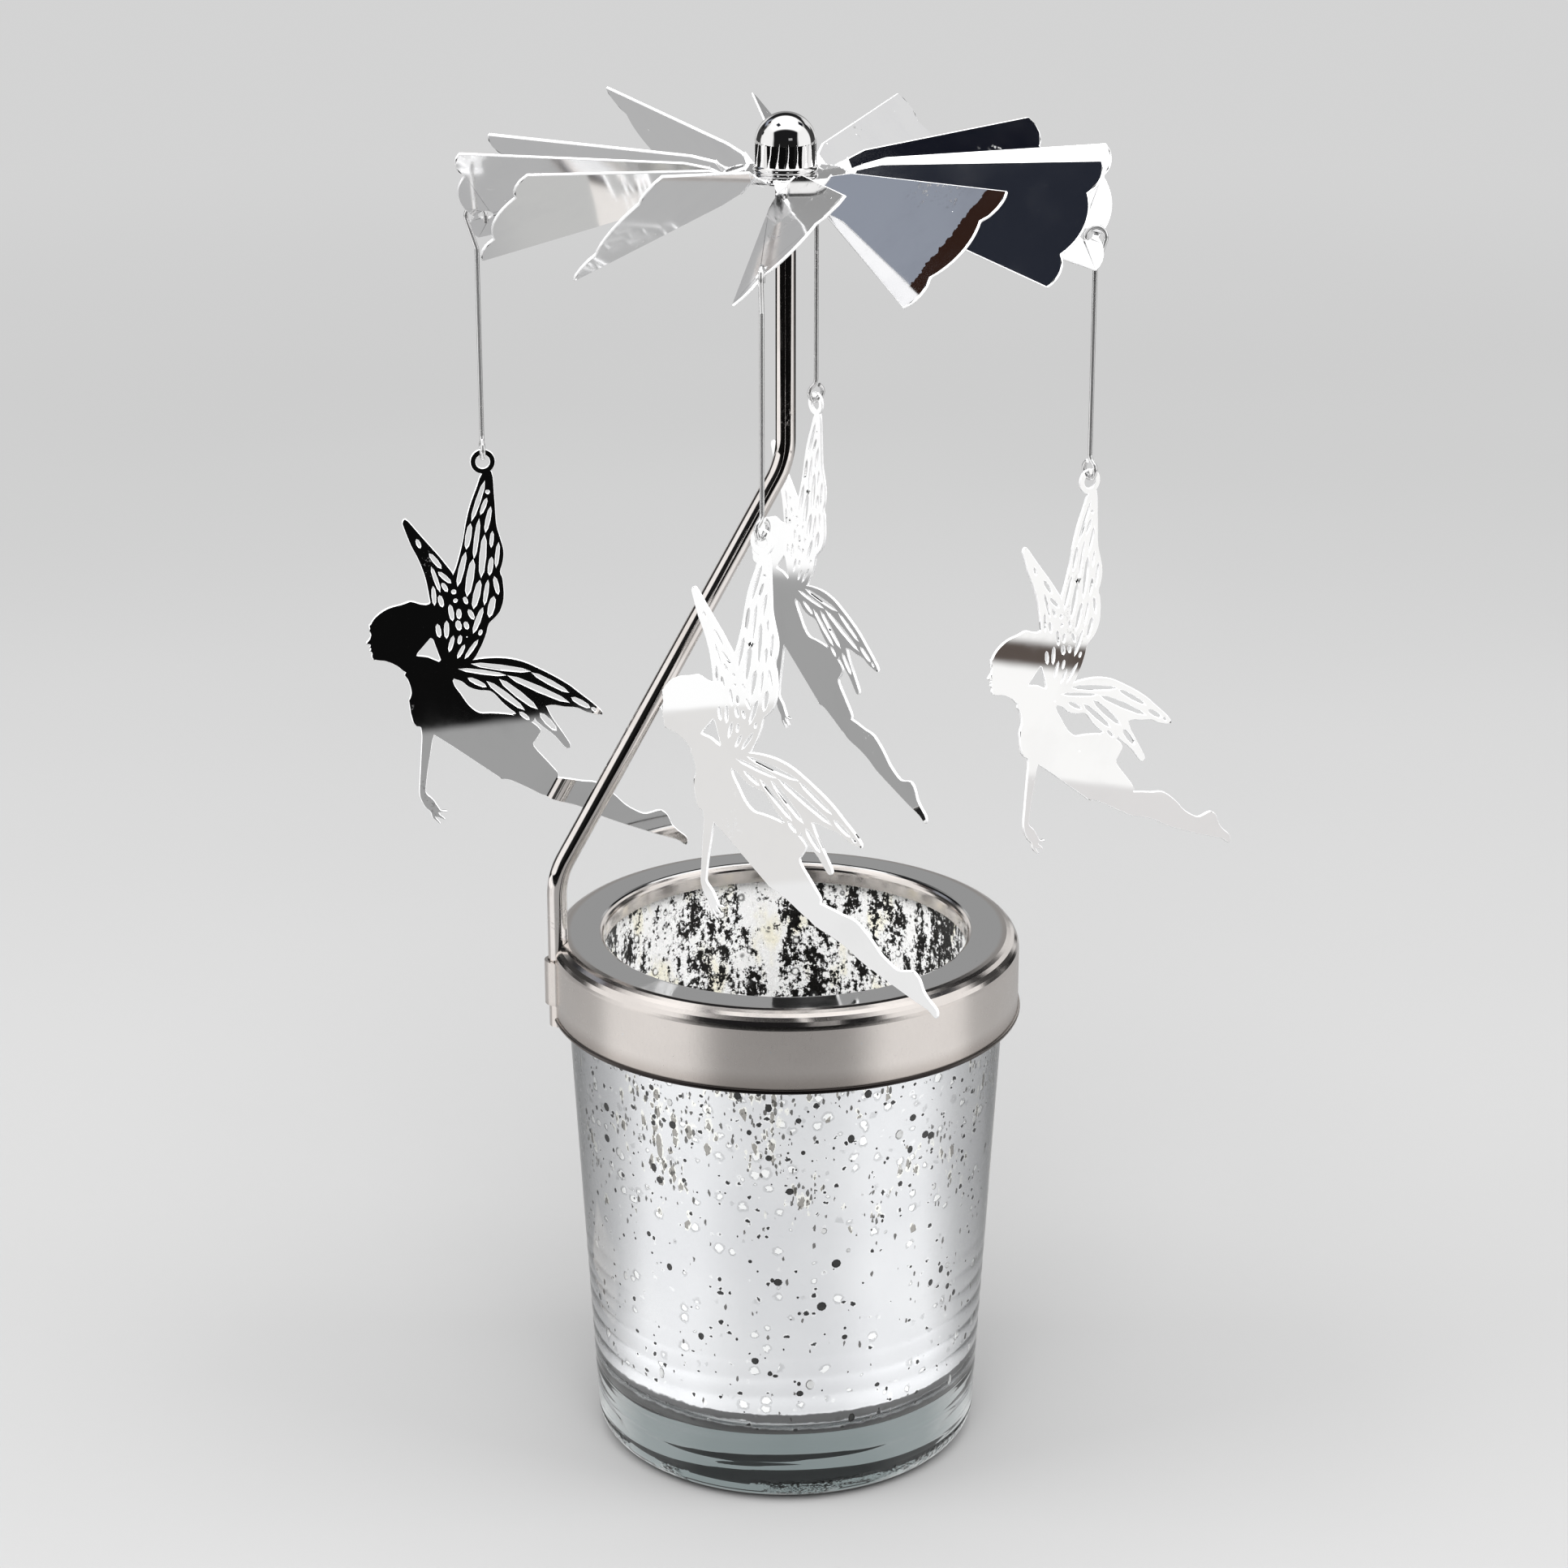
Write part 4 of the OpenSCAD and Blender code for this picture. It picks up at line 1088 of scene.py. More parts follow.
@dataclass
class Cup:
    """Pressed glass cup with a speckled silver lining."""

    foot_r: float = 29.75
    flare: float = 0.0545
    band_h: float = 13.0
    height: float = 83.0
    wall: float = 4.3
    floor: float = 10.0
    draft: float = 2.6
    heel: float = 4.0
    lip: float = 1.4
    well: float = 4.0
    sides: int = 192
    lining_top: float = 81.0
    lining_in: float = 0.15
    lining_out: float = 0.03
    ripple: float = 0.12
    ripple_pitch: float = 3.4
    ripple_top: float = 36.0
    strewn: tuple[Strewn, ...] = (
        Strewn("silver_pits", Bead("bare_pit", (0.008, 0.008, 0.009), (0.03, 0.028, 0.025), 0.0, 0.35),
               seed=7, density=25000.0, top_share=2.0, smallest=0.16, largest=0.80, flatness=0.12),
        Strewn("silver_drops", Bead("bright_drop", (1.0, 1.0, 1.0), (0.97, 0.97, 0.96), 1.0, 0.45),
               seed=19, density=8000.0, top_share=2.0, smallest=0.20, largest=0.90, flatness=0.03),
    )

    @property
    def rim_r(self) -> float:
        """Outer radius of the straight band."""
        return self.foot_r + self.flare * (self.height - self.band_h)

    @property
    def mouth_r(self) -> float:
        """Inner radius at the rim."""
        return self.rim_r - self.wall

    @property
    def floor_r(self) -> float:
        """Radius of the inner wall where it meets the floor."""
        return self.mouth_r - self.draft

    def wall_r(self, height: float) -> float:
        """Radius of the inner wall at a height.

        Args:
            height: height above the table.

        Returns:
            The radius.
        """
        low, high = self.floor + self.well, self.height - self.lip
        share = max(0.0, min(1.0, (height - low) / (high - low)))
        return self.floor_r + (self.mouth_r - self.floor_r) * share

    def _waves(self, radius: float, height: float, angle: float) -> float:
        """Shallow rings that the mould left low on the outer wall.

        Args:
            radius: radius without them.
            height: height above the table.
            angle: angle around the axis.

        Returns:
            Change of the radius.
        """
        if radius < self.foot_r - 1 or height > self.ripple_top:
            return 0.0
        fade = math.sin(math.pi * min(1.0, max(0.0, (height - 4.0) / (self.ripple_top - 4.0))) ** 0.6) ** 0.8
        drift = 0.8 * math.sin(2 * angle + 0.4) + 0.5 * math.sin(5 * angle)
        wave = (0.5 - 0.5 * math.cos(2 * math.pi * height / self.ripple_pitch + drift)) ** 2.5
        return -self.ripple * fade * wave

    def glass(self) -> bpy.types.Object:
        """The clear body.

        Returns:
            The piece.
        """
        band_z = self.height - self.band_h
        outline: Outline = [(0.0, 0.0), (12.0, 0.0), (20.0, 0.0)]
        outline += arc((self.foot_r + self.flare * self.heel - self.heel, self.heel), self.heel, -90, 0, 14)
        outline += filled([outline[-1], (self.rim_r, band_z)], 0.42)[1:]
        outline += arc((self.rim_r - self.lip, self.height - self.lip), self.lip, 0, 90, 8)
        outline += arc((self.mouth_r + self.lip, self.height - self.lip), self.lip, 90, 180, 8)
        well = arc((self.floor_r - self.well, self.floor + self.well), self.well, 0, -90, 10)
        outline += filled([outline[-1], well[0]], 3.0)[1:-1] + well + [(10.0, self.floor), (0.0, self.floor)]
        mesh = turned(outline, self.sides, self._waves)
        finish = PressedGlass("pressed_glass", (0.985, 0.992, 0.99), (0.86, 0.925, 0.915), self.floor,
                              self.foot_r - self.heel + 0.5)
        return add_object("cup_glass", mesh, [finish.build()])

    def _lining_outline(self) -> tuple[Outline, Outline]:
        """Outer and inner line of the silver, from the middle of the floor up to the top.

        Returns:
            Both outlines.
        """
        lines = []
        for grow in (self.lining_out, -self.lining_in):
            centre = (self.floor_r - self.well, self.floor + self.well)
            line: Outline = [(0.0, self.floor - grow), (10.0, self.floor - grow)]
            line += arc(centre, self.well + grow, -90, 0, 10)
            line += filled([line[-1], (self.wall_r(self.lining_top) + grow, self.lining_top)], 3.0)[1:]
            lines.append(line)
        return lines[0], lines[1]

    def lining(self) -> bpy.types.Object:
        """The silver lining as a thin closed shell.

        Returns:
            The piece.
        """
        outer, inner = self._lining_outline()
        mesh = turned(outer + inner[::-1], self.sides)
        mesh.set_sharp_from_angle(angle=math.radians(50))
        for face in mesh.polygons:
            middle = face.center / MM
            reach = math.hypot(middle.x, middle.y)
            on_wall = reach > 24
            outward = face.normal.xy.dot(middle.xy) > 0 if on_wall else face.normal.z < 0
            face.material_index = 0 if outward else 1
        low, high = self.floor, self.height - self.band_h
        finishes = [SilverCoat("silver_outside", Wall.OUTER, low, high).build(),
                    SilverCoat("silver_inside", Wall.INNER, low, high).build()]
        return add_object("silver_lining", mesh, finishes)

    def _sleeve(self) -> bpy.types.Object:
        """Bare outer face of the lining, which the drops are strewn on.

        Returns:
            The face as an object.
        """
        outer, _ = self._lining_outline()
        points, faces, sides = [], [], 96
        heights = [p for p in outer if p[1] > self.floor + 1.0 and p[1] < self.height - self.band_h + 2.0]
        for radius, height in heights:
            points += [(radius * math.cos(a) * MM, radius * math.sin(a) * MM, height * MM)
                       for a in (2 * math.pi * k / sides for k in range(sides))]
        for j in range(len(heights) - 1):
            low, high = j * sides, (j + 1) * sides
            faces += [(low + k, low + (k + 1) % sides, high + (k + 1) % sides, high + k)
                      for k in range(sides)]
        mesh = bpy.data.meshes.new("sleeve")
        mesh.from_pydata(points, [], faces)
        mesh.update()
        return add_object("sleeve", mesh, [])

    @staticmethod
    def _strewer() -> bpy.types.NodeTree:
        """Geometry tree that strews small flat drops over a surface.

        Returns:
            The tree.
        """
        tree, given, out = new_group(
            "strewn_drops", "GeometryNodeTree",
            [("Geometry", "NodeSocketGeometry", None), ("Seed", "NodeSocketInt", 1),
             ("Per square metre", "NodeSocketFloat", 1000.0), ("Top share", "NodeSocketFloat", 1.0),
             ("Low height", "NodeSocketFloat", 0.01), ("High height", "NodeSocketFloat", 0.07),
             ("Smallest", "NodeSocketFloat", 0.0003), ("Largest", "NodeSocketFloat", 0.001),
             ("Flatness", "NodeSocketFloat", 0.1), ("Finish", "NodeSocketMaterial", None)],
            [("Geometry", "NodeSocketGeometry")],
        )
        part = tree.add("ShaderNodeSeparateXYZ")
        tree.feed(part.inputs[0], tree.add("GeometryNodeInputPosition").outputs[0])
        rise = tree.ease(part.outputs[2], given.outputs["Low height"], given.outputs["High height"])
        share = tree.math("ADD", tree.math("MULTIPLY", rise, given.outputs["Top share"]),
                          tree.math("SUBTRACT", 1.0, rise))
        strewn = tree.add("GeometryNodeDistributePointsOnFaces")
        tree.feed(strewn.inputs["Mesh"], given.outputs["Geometry"])
        tree.feed(strewn.inputs["Density"], tree.math("MULTIPLY", share, given.outputs["Per square metre"]))
        tree.feed(strewn.inputs["Seed"], given.outputs["Seed"])
        drop = tree.call("GeometryNodeMeshUVSphere", {"Segments": 9, "Rings": 4, "Radius": 1.0})
        place = tree.add("GeometryNodeInstanceOnPoints")
        tree.feed(place.inputs["Points"], strewn.outputs["Points"])
        tree.feed(place.inputs["Instance"], drop)
        tree.feed(place.inputs["Rotation"], strewn.outputs["Rotation"])
        draws = []
        for shift in (11, 23):
            draw = tree.add("FunctionNodeRandomValue", data_type="FLOAT")
            tree.feed(draw.inputs["Seed"], tree.math("ADD", given.outputs["Seed"], float(shift)))
            draws.append(draw.outputs[1])
        small = tree.math("POWER", draws[0], 2.4)
        span = tree.math("SUBTRACT", given.outputs["Largest"], given.outputs["Smallest"])
        size = tree.math("ADD", given.outputs["Smallest"], tree.math("MULTIPLY", small, span))
        narrow = tree.math("MULTIPLY", size, tree.math("MULTIPLY_ADD", draws[1], 0.4))
        narrow.node.inputs[1].links[0].from_node.inputs[2].default_value = 0.65
        flat = tree.math("MULTIPLY", tree.math("POWER", size, 0.5),
                         tree.math("MULTIPLY", given.outputs["Flatness"], 0.02))
        scale = tree.call("ShaderNodeCombineXYZ", {0: narrow, 1: size, 2: flat})
        tree.feed(place.inputs["Scale"], scale)
        whole = tree.call("GeometryNodeRealizeInstances", {0: place.outputs[0]})
        smooth = tree.call("GeometryNodeSetShadeSmooth", {0: whole})
        finished = {"Geometry": smooth, "Material": given.outputs["Finish"]}
        tree.feed(out.inputs[0], tree.call("GeometryNodeSetMaterial", finished))
        return tree.tree

    def drops(self) -> list[bpy.types.Object]:
        """Dark pits and bright drops in the silver.

        Returns:
            The pieces.
        """
        tree = self._strewer()
        made = []
        for kind in self.strewn:
            material = kind.finish.build()
            inputs = {"Seed": kind.seed, "Per square metre": kind.density, "Top share": kind.top_share,
                      "Low height": kind.low_z * MM, "High height": kind.high_z * MM,
                      "Smallest": kind.smallest * MM, "Largest": kind.largest * MM,
                      "Flatness": kind.flatness, "Finish": material}
            made.append(grown(self._sleeve(), tree, inputs, kind.name, [material]))
        return made

    def build(self) -> None:
        """Builds, dresses and seats every piece of the cup."""
        glass = self.glass()
        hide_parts("glass_cup")
        for piece in (glass, self.lining(), *self.drops()):
            settle(piece, "cup")


@dataclass
class Stand:
    """Plated collar and the bent pole in its socket."""

    frame: dict
    socket_az: float = 190.0
    socket_r: float = 35.215
    rod_r: float = 1.5
    foot_z: float = 69.8
    knee_z: float = 94.0
    neck_z: float = 157.0
    needle_z: float = 198.55
    tip_z: float = 205.55
    tip_r: float = 0.12
    bend_r: float = 12.0
    collar_top: float = 83.5
    collar_r: float = 35.9
    shoulder: float = 2.6
    hem_z: float = 71.0

    @staticmethod
    def _rod_tree() -> bpy.types.NodeTree:
        """Geometry tree that sweeps a round rod along a path of straight runs.

        Returns:
            The tree.
        """
        tree, given, out = new_group(
            "bent_rod", "GeometryNodeTree",
            [("Geometry", "NodeSocketGeometry", None), ("Rod radius", "NodeSocketFloat", 0.001),
             ("Bend radius", "NodeSocketFloat", 0.01), ("Steps", "NodeSocketInt", 200),
             ("Sides", "NodeSocketInt", 32),
             ("Needle height", "NodeSocketFloat", 0.1), ("Tip height", "NodeSocketFloat", 0.2),
             ("Tip share", "NodeSocketFloat", 0.1), ("Finish", "NodeSocketMaterial", None)],
            [("Geometry", "NodeSocketGeometry")],
        )
        path = tree.call("GeometryNodeMeshToCurve", {0: given.outputs["Geometry"]})
        rounded = tree.add("GeometryNodeFilletCurve", mode="POLY")
        for label, value in (("Curve", path), ("Count", 14), ("Radius", given.outputs["Bend radius"])):
            tree.feed(rounded.inputs[label], value)
        even = tree.call("GeometryNodeResampleCurve",
                         {"Curve": rounded.outputs[0], "Count": given.outputs["Steps"]}, mode="COUNT")
        part = tree.add("ShaderNodeSeparateXYZ")
        tree.feed(part.inputs[0], tree.add("GeometryNodeInputPosition").outputs[0])
        taper = {"Value": part.outputs[2], "From Min": given.outputs["Needle height"],
                 "From Max": given.outputs["Tip height"], "To Min": 1.0, "To Max": given.outputs["Tip share"]}
        girth = tree.call("ShaderNodeMapRange", taper)
        thick = tree.call("GeometryNodeSetCurveRadius", {"Curve": even, "Radius": girth})
        ring = tree.call("GeometryNodeCurvePrimitiveCircle",
                         {"Resolution": given.outputs["Sides"], "Radius": given.outputs["Rod radius"]})
        swept = tree.call("GeometryNodeCurveToMesh",
                          {"Curve": thick, "Profile Curve": ring, "Fill Caps": True})
        whole = tree.call("GeometryNodeRealizeInstances", {0: swept})
        finished = {"Geometry": whole, "Material": given.outputs["Finish"]}
        tree.feed(out.inputs[0], tree.call("GeometryNodeSetMaterial", finished))
        return tree.tree

    def pole(self) -> bpy.types.Object:
        """The rod with its two bends and ground point.

        Returns:
            The piece.
        """
        a = math.radians(self.socket_az)
        runs = ((self.socket_r, self.foot_z), (self.socket_r, self.knee_z), (0.0, self.neck_z),
                (0.0, self.tip_z))
        points = [(r * math.cos(a) * MM, r * math.sin(a) * MM, z * MM) for r, z in runs]
        mesh = bpy.data.meshes.new("path")
        mesh.from_pydata(points, [(0, 1), (1, 2), (2, 3)], [])
        finish = MirrorPlate("pole_plating", (0.93, 0.88, 0.85), (0.85, 0.79, 0.75),
                             roughness=0.05, smear_roughness=0.08, speck_cell=1.8, speck_share=0.05,
                             ripple=0.02, ripple_scale=130.0).build()
        inputs = {"Rod radius": self.rod_r * MM, "Bend radius": self.bend_r * MM, "Steps": 260, "Sides": 32,
                  "Needle height": self.needle_z * MM, "Tip height": self.tip_z * MM,
                  "Tip share": self.tip_r / self.rod_r, "Finish": finish}
        made = grown(add_object("path", mesh, []), self._rod_tree(), inputs, "pole_rod", [finish])
        work = bmesh.new()
        work.from_mesh(made.data)
        bmesh.ops.recalc_face_normals(work, faces=work.faces)
        work.to_mesh(made.data)
        work.free()
        mark_creases(made.data, 40.0)
        return made

    def build(self) -> None:
        """Dresses the collar and puts the pole in."""
        plating = SatinPlate("collar_plating", (0.88, 0.825, 0.785), (0.93, 0.93, 0.93),
                             wall_roughness=0.22, top_roughness=0.035, top_z=self.collar_top,
                             top_r=self.collar_r - self.shoulder, hem_z=self.hem_z)
        dress(self.frame, "collar", plating.build())
        rod = self.pole()
        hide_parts("pole")
        settle(rod, "stand")


@dataclass
class Rotor:
    """Fan of twisted blades with its dome, pivot and bush."""

    frame: dict
    sheet: float = 0.4
    edge: float = 0.17
    tip_az: float = -60.0
    tip_r: float = 43.7
    tip_lean: float = 2.6

    def build(self) -> None:
        """Dresses the fan and its hub fittings."""
        mirror = MirrorPlate("fan_plating", (0.94, 0.94, 0.945), (0.91, 0.91, 0.92),
                             roughness=0.05, smear_roughness=0.03, speck_cell=1.5, speck_share=0.09,
                             ripple=0.006, ripple_scale=45.0,
                             tip_az=self.tip_az, tip_r=self.tip_r, tip_lean=self.tip_lean)
        finishes = [mirror.build(), CutEdgeHighlight("fan_cut_edge_highlight").build()]
        fan = merged_copy(self.frame, "fan", "fan_blades", finishes)
        mark_cut_edges(fan.data, self.sheet)
        soften_edges(fan, self.edge)
        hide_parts("fan")
        settle(fan, "rotor")
        dome = MirrorPlate("dome_plating", (0.95, 0.945, 0.94), (0.90, 0.89, 0.88),
                           roughness=0.02, smear_roughness=0.03, speck_cell=1.3, speck_share=0.04)
        dress(self.frame, "dome_cap", dome.build())
        brass = MirrorPlate("pivot_brass_turned", (0.80, 0.62, 0.30), (0.60, 0.44, 0.20),
                            roughness=0.18, smear_roughness=0.15, speck_cell=1.0, speck_share=0.05)
        dress(self.frame, "pivot_cup", brass.build())
        bush = MirrorPlate("bush_plating", (0.88, 0.88, 0.88), (0.75, 0.75, 0.76),
                           roughness=0.06, smear_roughness=0.08, speck_cell=1.2, speck_share=0.06)
        dress(self.frame, "hub_bush", bush.build())


@dataclass
class Hangers:
    """Bent wires between the blades and the charms."""

    frame: dict
    places: tuple[Place, ...] = tuple(Place)

    def build(self) -> None:
        """Makes and dresses the four wires."""
        wire = MirrorPlate("drawn_wire", (0.95, 0.95, 0.95), (0.80, 0.79, 0.79),
                           roughness=0.12, smear_roughness=0.10, speck_cell=0.9, speck_share=0.06,
                           bare=0.12).build()
        for place in self.places:
            node = f"hanger_{place.value}"
            piece = merged_copy(self.frame, node, f"wire_{place.value}", [wire], 40.0)
            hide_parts(node)
            settle(piece, node)


@dataclass
class Charms:
    """Four flat winged figures cut from plated sheet."""

    frame: dict
    sheet: float = 0.5
    edge: float = 0.10
    places: tuple[Place, ...] = tuple(Place)

    def build(self) -> None:
        """Makes and dresses the four figures."""
        mirror = MirrorPlate("charm_plating", (0.95, 0.95, 0.95), (0.92, 0.92, 0.92),
                             roughness=0.02, smear_roughness=0.02, speck_cell=2.0, speck_share=0.03,
                             ripple=0.006, ripple_scale=70.0).build()
        rim = CutEdgeHighlight("charm_cut_edge_highlight").build()
        for place in self.places:
            node = f"fairy_{place.value}"
            piece = merged_copy(self.frame, node, f"charm_sheet_{place.value}", [mirror, rim])
            mark_cut_edges(piece.data, self.sheet)
            soften_edges(piece, self.edge)
            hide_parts(node)
            settle(piece, f"charm_{place.value}")


def settle(piece: bpy.types.Object, body: str) -> None:
    """Seats a finished piece on its body.

    Args:
        piece: the piece, in place.
        body: the CAD body that it moves with.
    """
    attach(piece, body)
    LOG.info("%s: %d faces on %s", piece.name, len(piece.data.polygons), body)


def dress(frame: dict, node: str, finish: bpy.types.Material) -> None:
    """Gives a CAD node its finish.

    Args:
        frame: the loaded frame.
        node: the node's name.
        finish: its material.
    """
    piece = frame["nodes"][node]
    for slot in piece.material_slots:
        slot.material = finish
    LOG.info("%s: dressed", node)


# Studio


def grey(tone: float) -> Colour:
    """A neutral colour."""
    return (tone, tone, tone)


@dataclass(frozen=True)
class Card:
    """Studio card that polished sheet mirrors, by its direction in degrees; azimuth 0 is +Y, 90 is +X."""

    azimuth: float
    elevation: float
    half_w: float
    half_h: float
    soft: float
    colour: Colour


@dataclass(frozen=True)
class Patch:
    """Lighter or darker stretch of the studio table, in metres."""

    x: float
    y: float
    half_x: float
    half_y: float
    soft: float
    colour: Colour


@dataclass(frozen=True)
class Lamp:
    """Square soft lamp: place and side in metres, power in watts."""

    name: str
    place: tuple[float, float, float]
    side: float
    power: float


@dataclass
class Studio:
    """Camera, pale floor, soft light and the cards around the object."""

    camera_at: tuple[float, float, float] = (0.0, -525.05, 285.32)
    pitch: float = 71.2
    lens: float = 83.88
    sensor: float = 36.0
    photo_side: float = 1932.0
    shift_px: float = 2.0
    floor_r: float = 3.0
    floor_gap: float = 0.03
    foot_shade: tuple[float, float] = (31.0, 33.0)
    foot_glow: tuple[float, float] = (46.0, 60.0)
    paper: tuple[Colour, Colour] = (grey(0.250), grey(0.257))
    backdrop: Colour = (0.655, 0.655, 0.655)
    sky: tuple[Stop, ...] = (
        Stop(0.0, grey(0.31)), Stop(15.0, grey(0.31)), Stop(20.0, grey(0.75)), Stop(33.0, grey(0.75)),
        Stop(38.0, grey(0.05)), Stop(70.0, grey(0.05)), Stop(75.0, grey(0.95)), Stop(128.0, grey(0.95)),
        Stop(137.0, grey(0.012)), Stop(180.0, grey(0.012)),
    )
    table: tuple[Stop, ...] = (
        Stop(0.0, grey(0.46)), Stop(84.0, grey(0.46)), Stop(93.0, grey(0.86)), Stop(136.0, grey(0.86)),
        Stop(150.0, grey(0.35)), Stop(180.0, grey(0.35)),
    )
    through: tuple[Stop, ...] = (
        Stop(0.0, (0.10, 0.115, 0.12)), Stop(28.0, (0.12, 0.13, 0.135)), Stop(44.0, grey(0.50)),
        Stop(64.0, grey(0.58)), Stop(84.0, grey(0.80)), Stop(100.0, grey(1.16)), Stop(134.0, grey(1.16)),
        Stop(158.0, grey(0.97)), Stop(180.0, grey(0.95)),
    )
    through_sky: tuple[Stop, ...] = (
        Stop(0.0, (0.24, 0.275, 0.28)), Stop(40.0, (0.30, 0.33, 0.335)), Stop(70.0, grey(0.62)),
        Stop(96.0, grey(1.1)), Stop(180.0, grey(0.8)),
    )
    overhead: Colour = (1.15, 1.15, 1.15)
    room_low: Colour = (0.55, 0.55, 0.55)
    room_high: Colour = (2.4, 2.4, 2.4)
    aim: tuple[float, float, float] = (0.0, 0.0, 0.08)
    lamp_set: tuple[Lamp, ...] = (
        Lamp("left", (-0.85, -0.20, 0.85), 0.6, 7.5),
        Lamp("right", (0.85, -0.20, 0.85), 0.6, 7.5),
        Lamp("front", (0.0, -0.70, 0.95), 0.7, 12.0),
    )
    cards: tuple[Card, ...] = (
        Card(0.0, 42.0, 50.0, 13.0, 3.0, (0.015, 0.015, 0.016)),
        Card(38.5, 24.0, 9.0, 8.0, 2.0, (0.74, 0.74, 0.74)),
        Card(-48.0, 37.0, 9.0, 7.0, 3.0, (0.285, 0.31, 0.365)),
        Card(180.0, 36.0, 44.0, 22.0, 4.0, (0.012, 0.012, 0.013)),
        Card(161.0, 19.4, 7.0, 4.0, 1.0, (0.36, 0.36, 0.36)),
        Card(-54.0, 43.0, 4.6, 4.0, 0.3, (0.030, 0.014, 0.010)),
        Card(67.5, 47.5, 6.5, 6.5, 1.0, (0.007, 0.008, 0.014)),
        Card(-111.0, 67.0, 7.0, 5.0, 1.0, (0.017, 0.020, 0.030)),
        Card(-73.0, 19.3, 4.0, 4.0, 1.0, (0.02, 0.02, 0.02)),
    )
    patches: tuple[Patch, ...] = (
        Patch(0.0, -1.642, 2.9, 1.30, 0.004, (0.004, 0.004, 0.004)),
        Patch(0.90, 0.75, 0.62, 0.45, 0.02, (0.015, 0.015, 0.015)),
        Patch(-0.90, 0.75, 0.62, 0.45, 0.02, (0.015, 0.015, 0.015)),
        Patch(-0.33, 0.15, 0.1, 0.075, 0.02, (0.36, 0.36, 0.36)),
        Patch(-1.43, 0.16, 1.0, 0.16, 0.01, (1.05, 1.05, 1.05)),
        Patch(-0.61, -0.17, 0.1983, 0.09, 0.003, (1.05, 1.05, 1.05)),
        Patch(-0.347, -0.128, 0.065, 0.04, 0.003, (0.785, 0.775, 0.765)),
        Patch(0.52, -0.15, 0.168, 0.10, 0.003, (1.0, 0.995, 0.985)),
        Patch(0.317, -0.08, 0.035, 0.08, 0.003, (0.755, 0.740, 0.735)),
        Patch(0.451, -0.13, 0.011, 0.10, 0.005, (0.10, 0.08, 0.07)),
        Patch(0.040, 0.102, 0.016, 0.02, 0.008, (0.55, 0.55, 0.54)),
        Patch(-0.074, 0.026, 0.013, 0.020, 0.003, (0.90, 0.865, 0.83)),
    )

    def camera(self) -> None:
        """Puts the camera where the view was taken from."""
        data = bpy.data.cameras.new("view")
        data.lens, data.sensor_width, data.sensor_fit = self.lens, self.sensor, "HORIZONTAL"
        data.shift_x = -self.shift_px / self.photo_side
        data.clip_start, data.clip_end = 0.01, 50.0
        made = bpy.data.objects.new("view", data)
        made.location = Vector(self.camera_at) * MM
        made.rotation_euler = (math.radians(self.pitch), 0.0, 0.0)
        bpy.context.scene.collection.objects.link(made)
        bpy.context.scene.camera = made

    def world(self) -> None:
        """Backdrop for the eye, and cards for everything that mirrors."""
        world = bpy.data.worlds.new("studio")
        bpy.context.scene.world = world
        world.use_nodes = True
        world.node_tree.nodes.clear()
        tree = Tree(world.node_tree)
        direction = tree.add("ShaderNodeTexCoord").outputs["Generated"]
        part = tree.add("ShaderNodeSeparateXYZ")
        tree.feed(part.inputs[0], direction)
        around = tree.group(Effects.get("around"), {"Vector": direction}).outputs["Share"]
        up = tree.ease(part.outputs[2], 0.52, 0.84)
        colour = tree.blend(up, tree.ramp(around, self.sky), self.overhead)
        for card in self.cards:
            inputs = {"Direction": direction, "Azimuth": card.azimuth, "Elevation": card.elevation,
                      "Half width": card.half_w, "Half height": card.half_h, "Softness": card.soft}
            mask = tree.group(Effects.get("card"), inputs).outputs["Mask"]
            colour = tree.blend(mask, colour, card.colour)
        sight = tree.add("ShaderNodeLightPath")
        colour = tree.blend(sight.outputs["Is Transmission Ray"], colour, tree.ramp(around, self.through_sky))
        room = tree.blend(tree.ease(part.outputs[2], 0.35, 0.7), self.room_low, self.room_high)
        colour = tree.blend(sight.outputs["Is Diffuse Ray"], colour, room)
        shade = tree.blend(sight.outputs["Is Camera Ray"], colour, self.backdrop)
        light = tree.call("ShaderNodeBackground", {"Color": shade, "Strength": 1.0})
        tree.feed(tree.add("ShaderNodeOutputWorld").inputs["Surface"], light)

    def floor(self) -> None:
        """Pale table that runs out into the backdrop."""
        mesh = bpy.data.meshes.new("floor")
        sides = 64
        angles = [2 * math.pi * k / sides for k in range(sides)]
        rim = [(self.floor_r * math.cos(a), self.floor_r * math.sin(a), -self.floor_gap * MM) for a in angles]
        mesh.from_pydata(rim, [], [list(range(sides))])
        table = add_object("floor", mesh, [self._table()])

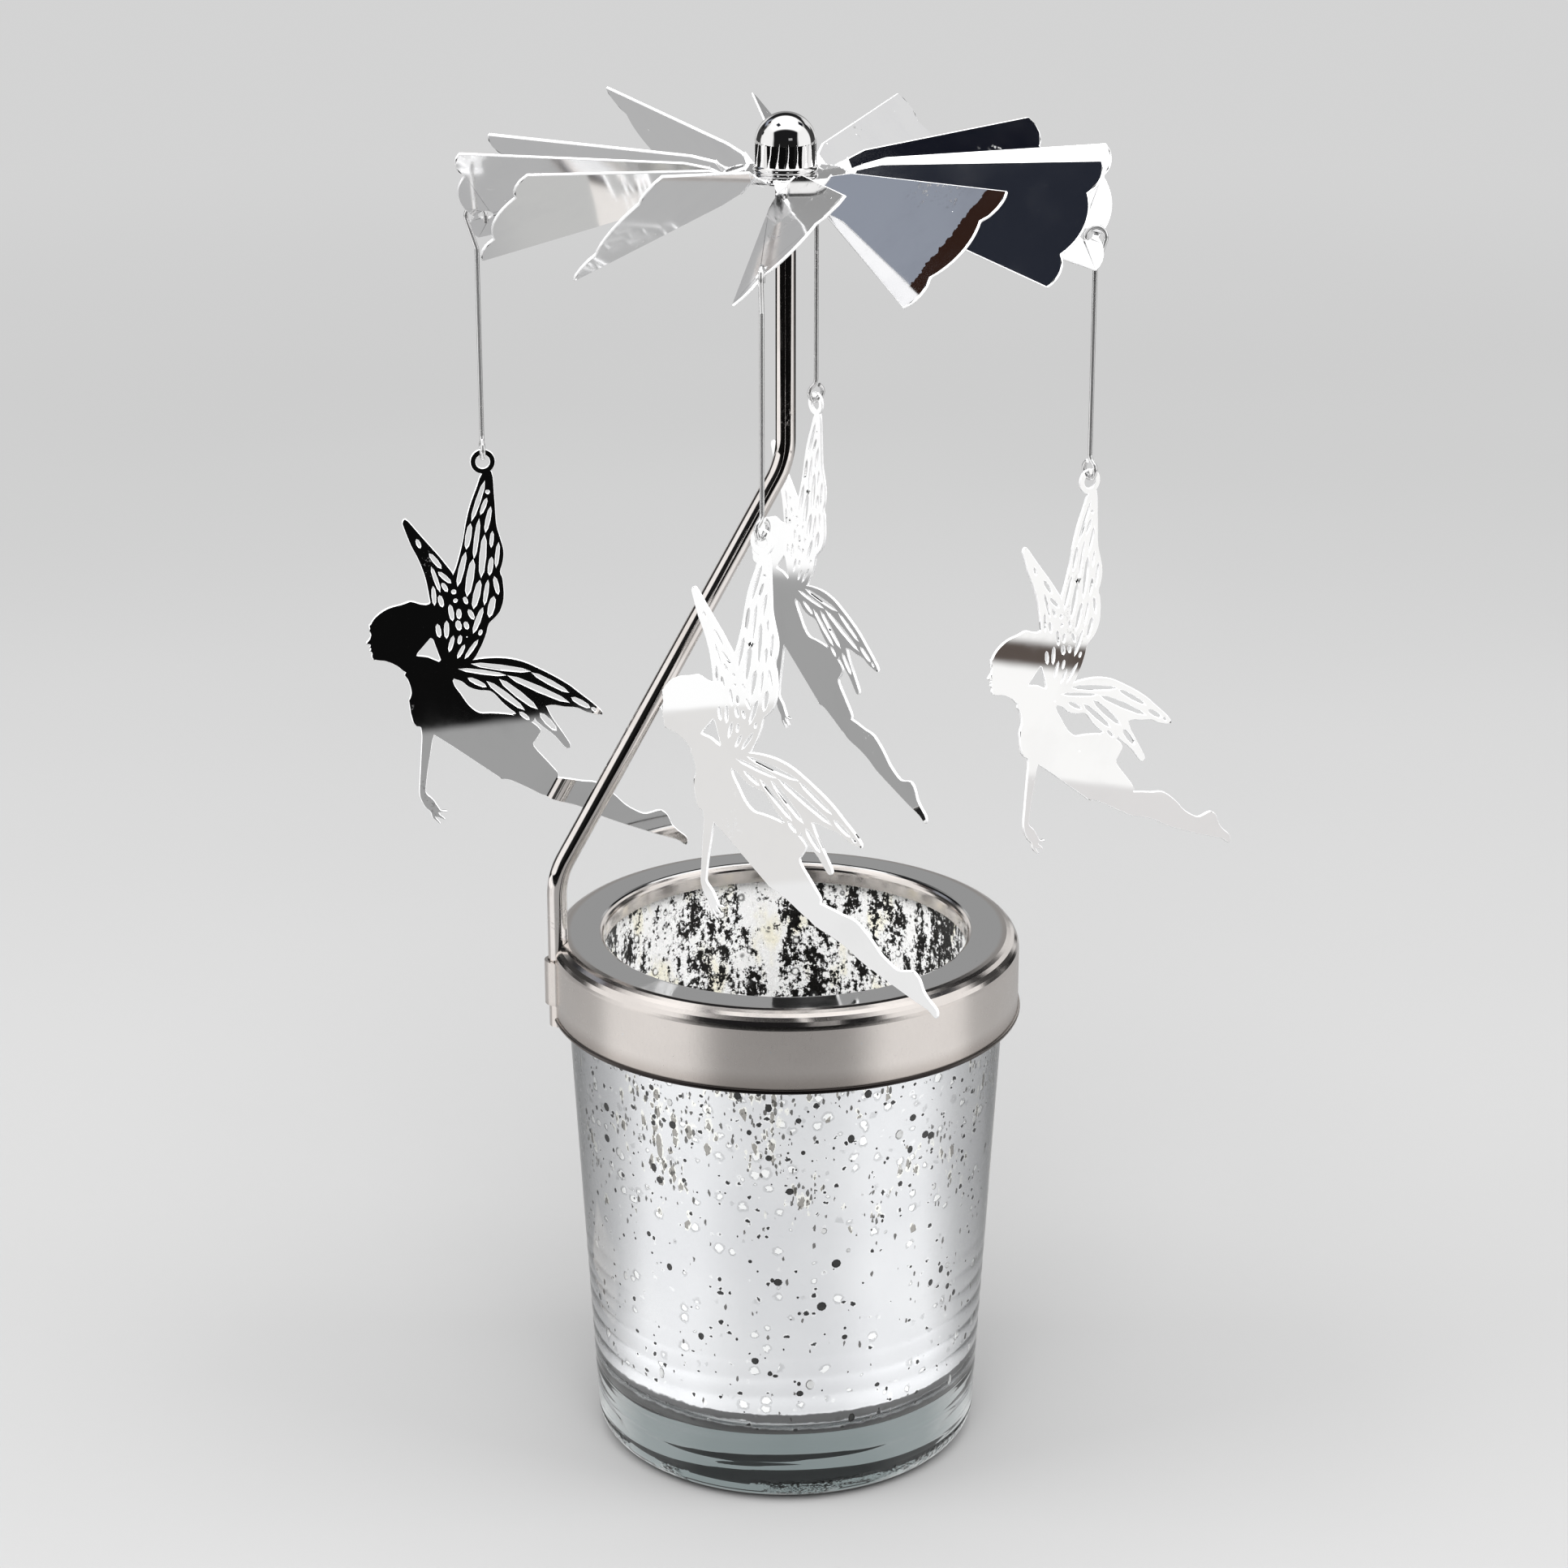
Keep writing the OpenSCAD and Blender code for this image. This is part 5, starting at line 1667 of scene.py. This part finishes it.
    def _table(self) -> bpy.types.Material:
        """Pale paper for the eye, with the light and dark stretches that mirrors see.

        Returns:
            The material.
        """
        made = bpy.data.materials.new("table")
        made.use_nodes = True
        made.node_tree.nodes.clear()
        made.cycles.emission_sampling = "NONE"
        tree = Tree(made.node_tree)
        place = tree.add("ShaderNodeTexCoord").outputs["Object"]
        reach = tree.vector("LENGTH", place, output="Value")
        around = tree.group(Effects.get("around"), {"Vector": place}).outputs["Share"]
        colour = tree.ramp(around, self.table)
        for patch in self.patches:
            inputs = {"Place": place, "Centre": (patch.x, patch.y, 0.0),
                      "Half size": (patch.half_x, patch.half_y, 0.0), "Softness": patch.soft}
            mask = tree.group(Effects.get("patch"), inputs).outputs["Mask"]
            colour = tree.blend(mask, colour, patch.colour)
        sight = tree.add("ShaderNodeLightPath")
        (near, edge), (fading, far_r) = self.foot_shade, self.foot_glow
        under = tree.ease(reach, near * MM, edge * MM, 0.72, 1.3)
        under = tree.math("SUBTRACT", under, tree.ease(reach, fading * MM, far_r * MM, 0.0, 0.3))
        passed = tree.vector("SCALE", tree.ramp(around, self.through))
        tree.feed(passed.node.inputs["Scale"], under)
        colour = tree.blend(sight.outputs["Is Transmission Ray"], colour, passed)
        mirrored = tree.call("ShaderNodeEmission", {"Color": colour, "Strength": 1.0})
        cloud = tree.noise(place, 3.0, 2.0, 0.5)
        paper = tree.blend(tree.ease(cloud, 0.35, 0.65), *self.paper)
        matt = tree.call("ShaderNodeBsdfDiffuse", {"Color": paper})
        far = tree.call("ShaderNodeEmission", {"Color": self.backdrop, "Strength": 1.0})
        fade = tree.math("MULTIPLY", tree.ease(reach, 0.35, 1.3), sight.outputs["Is Camera Ray"])
        plain = tree.call("ShaderNodeMixShader", {0: fade, 1: matt, 2: far})
        bounced = tree.math("MAXIMUM", sight.outputs["Is Glossy Ray"], sight.outputs["Is Transmission Ray"])
        whole = tree.call("ShaderNodeMixShader", {0: bounced, 1: plain, 2: mirrored})
        tree.feed(tree.add("ShaderNodeOutputMaterial").inputs["Surface"], whole)
        return made

    def lamps(self) -> None:
        """Large soft lamps over the table."""
        for lamp in self.lamp_set:
            data = bpy.data.lights.new(lamp.name, "AREA")
            data.shape, data.size, data.energy = "SQUARE", lamp.side, lamp.power
            made = bpy.data.objects.new(lamp.name, data)
            made.location = lamp.place
            made.rotation_mode = "QUATERNION"
            made.rotation_quaternion = (Vector(self.aim) - Vector(lamp.place)).to_track_quat("-Z", "Y")
            made.visible_glossy = False
            made.visible_transmission = False
            bpy.context.scene.collection.objects.link(made)

    def build(self) -> None:
        """Sets up everything around the object."""
        view = bpy.context.scene.view_settings
        view.view_transform, view.look, view.exposure, view.gamma = "Standard", "None", 0.0, 1.0
        self.camera()
        self.world()
        self.floor()
        self.lamps()
        LOG.info("studio: ready")


def main() -> None:
    """Builds the carousel around its frame."""
    logging.basicConfig(level=logging.INFO, format="%(message)s")
    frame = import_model()
    Studio().build()
    Cup().build()
    Stand(frame).build()
    Rotor(frame).build()
    Hangers(frame).build()
    Charms(frame).build()
    bpy.context.view_layer.update()


if __name__ == "__main__":
    main()
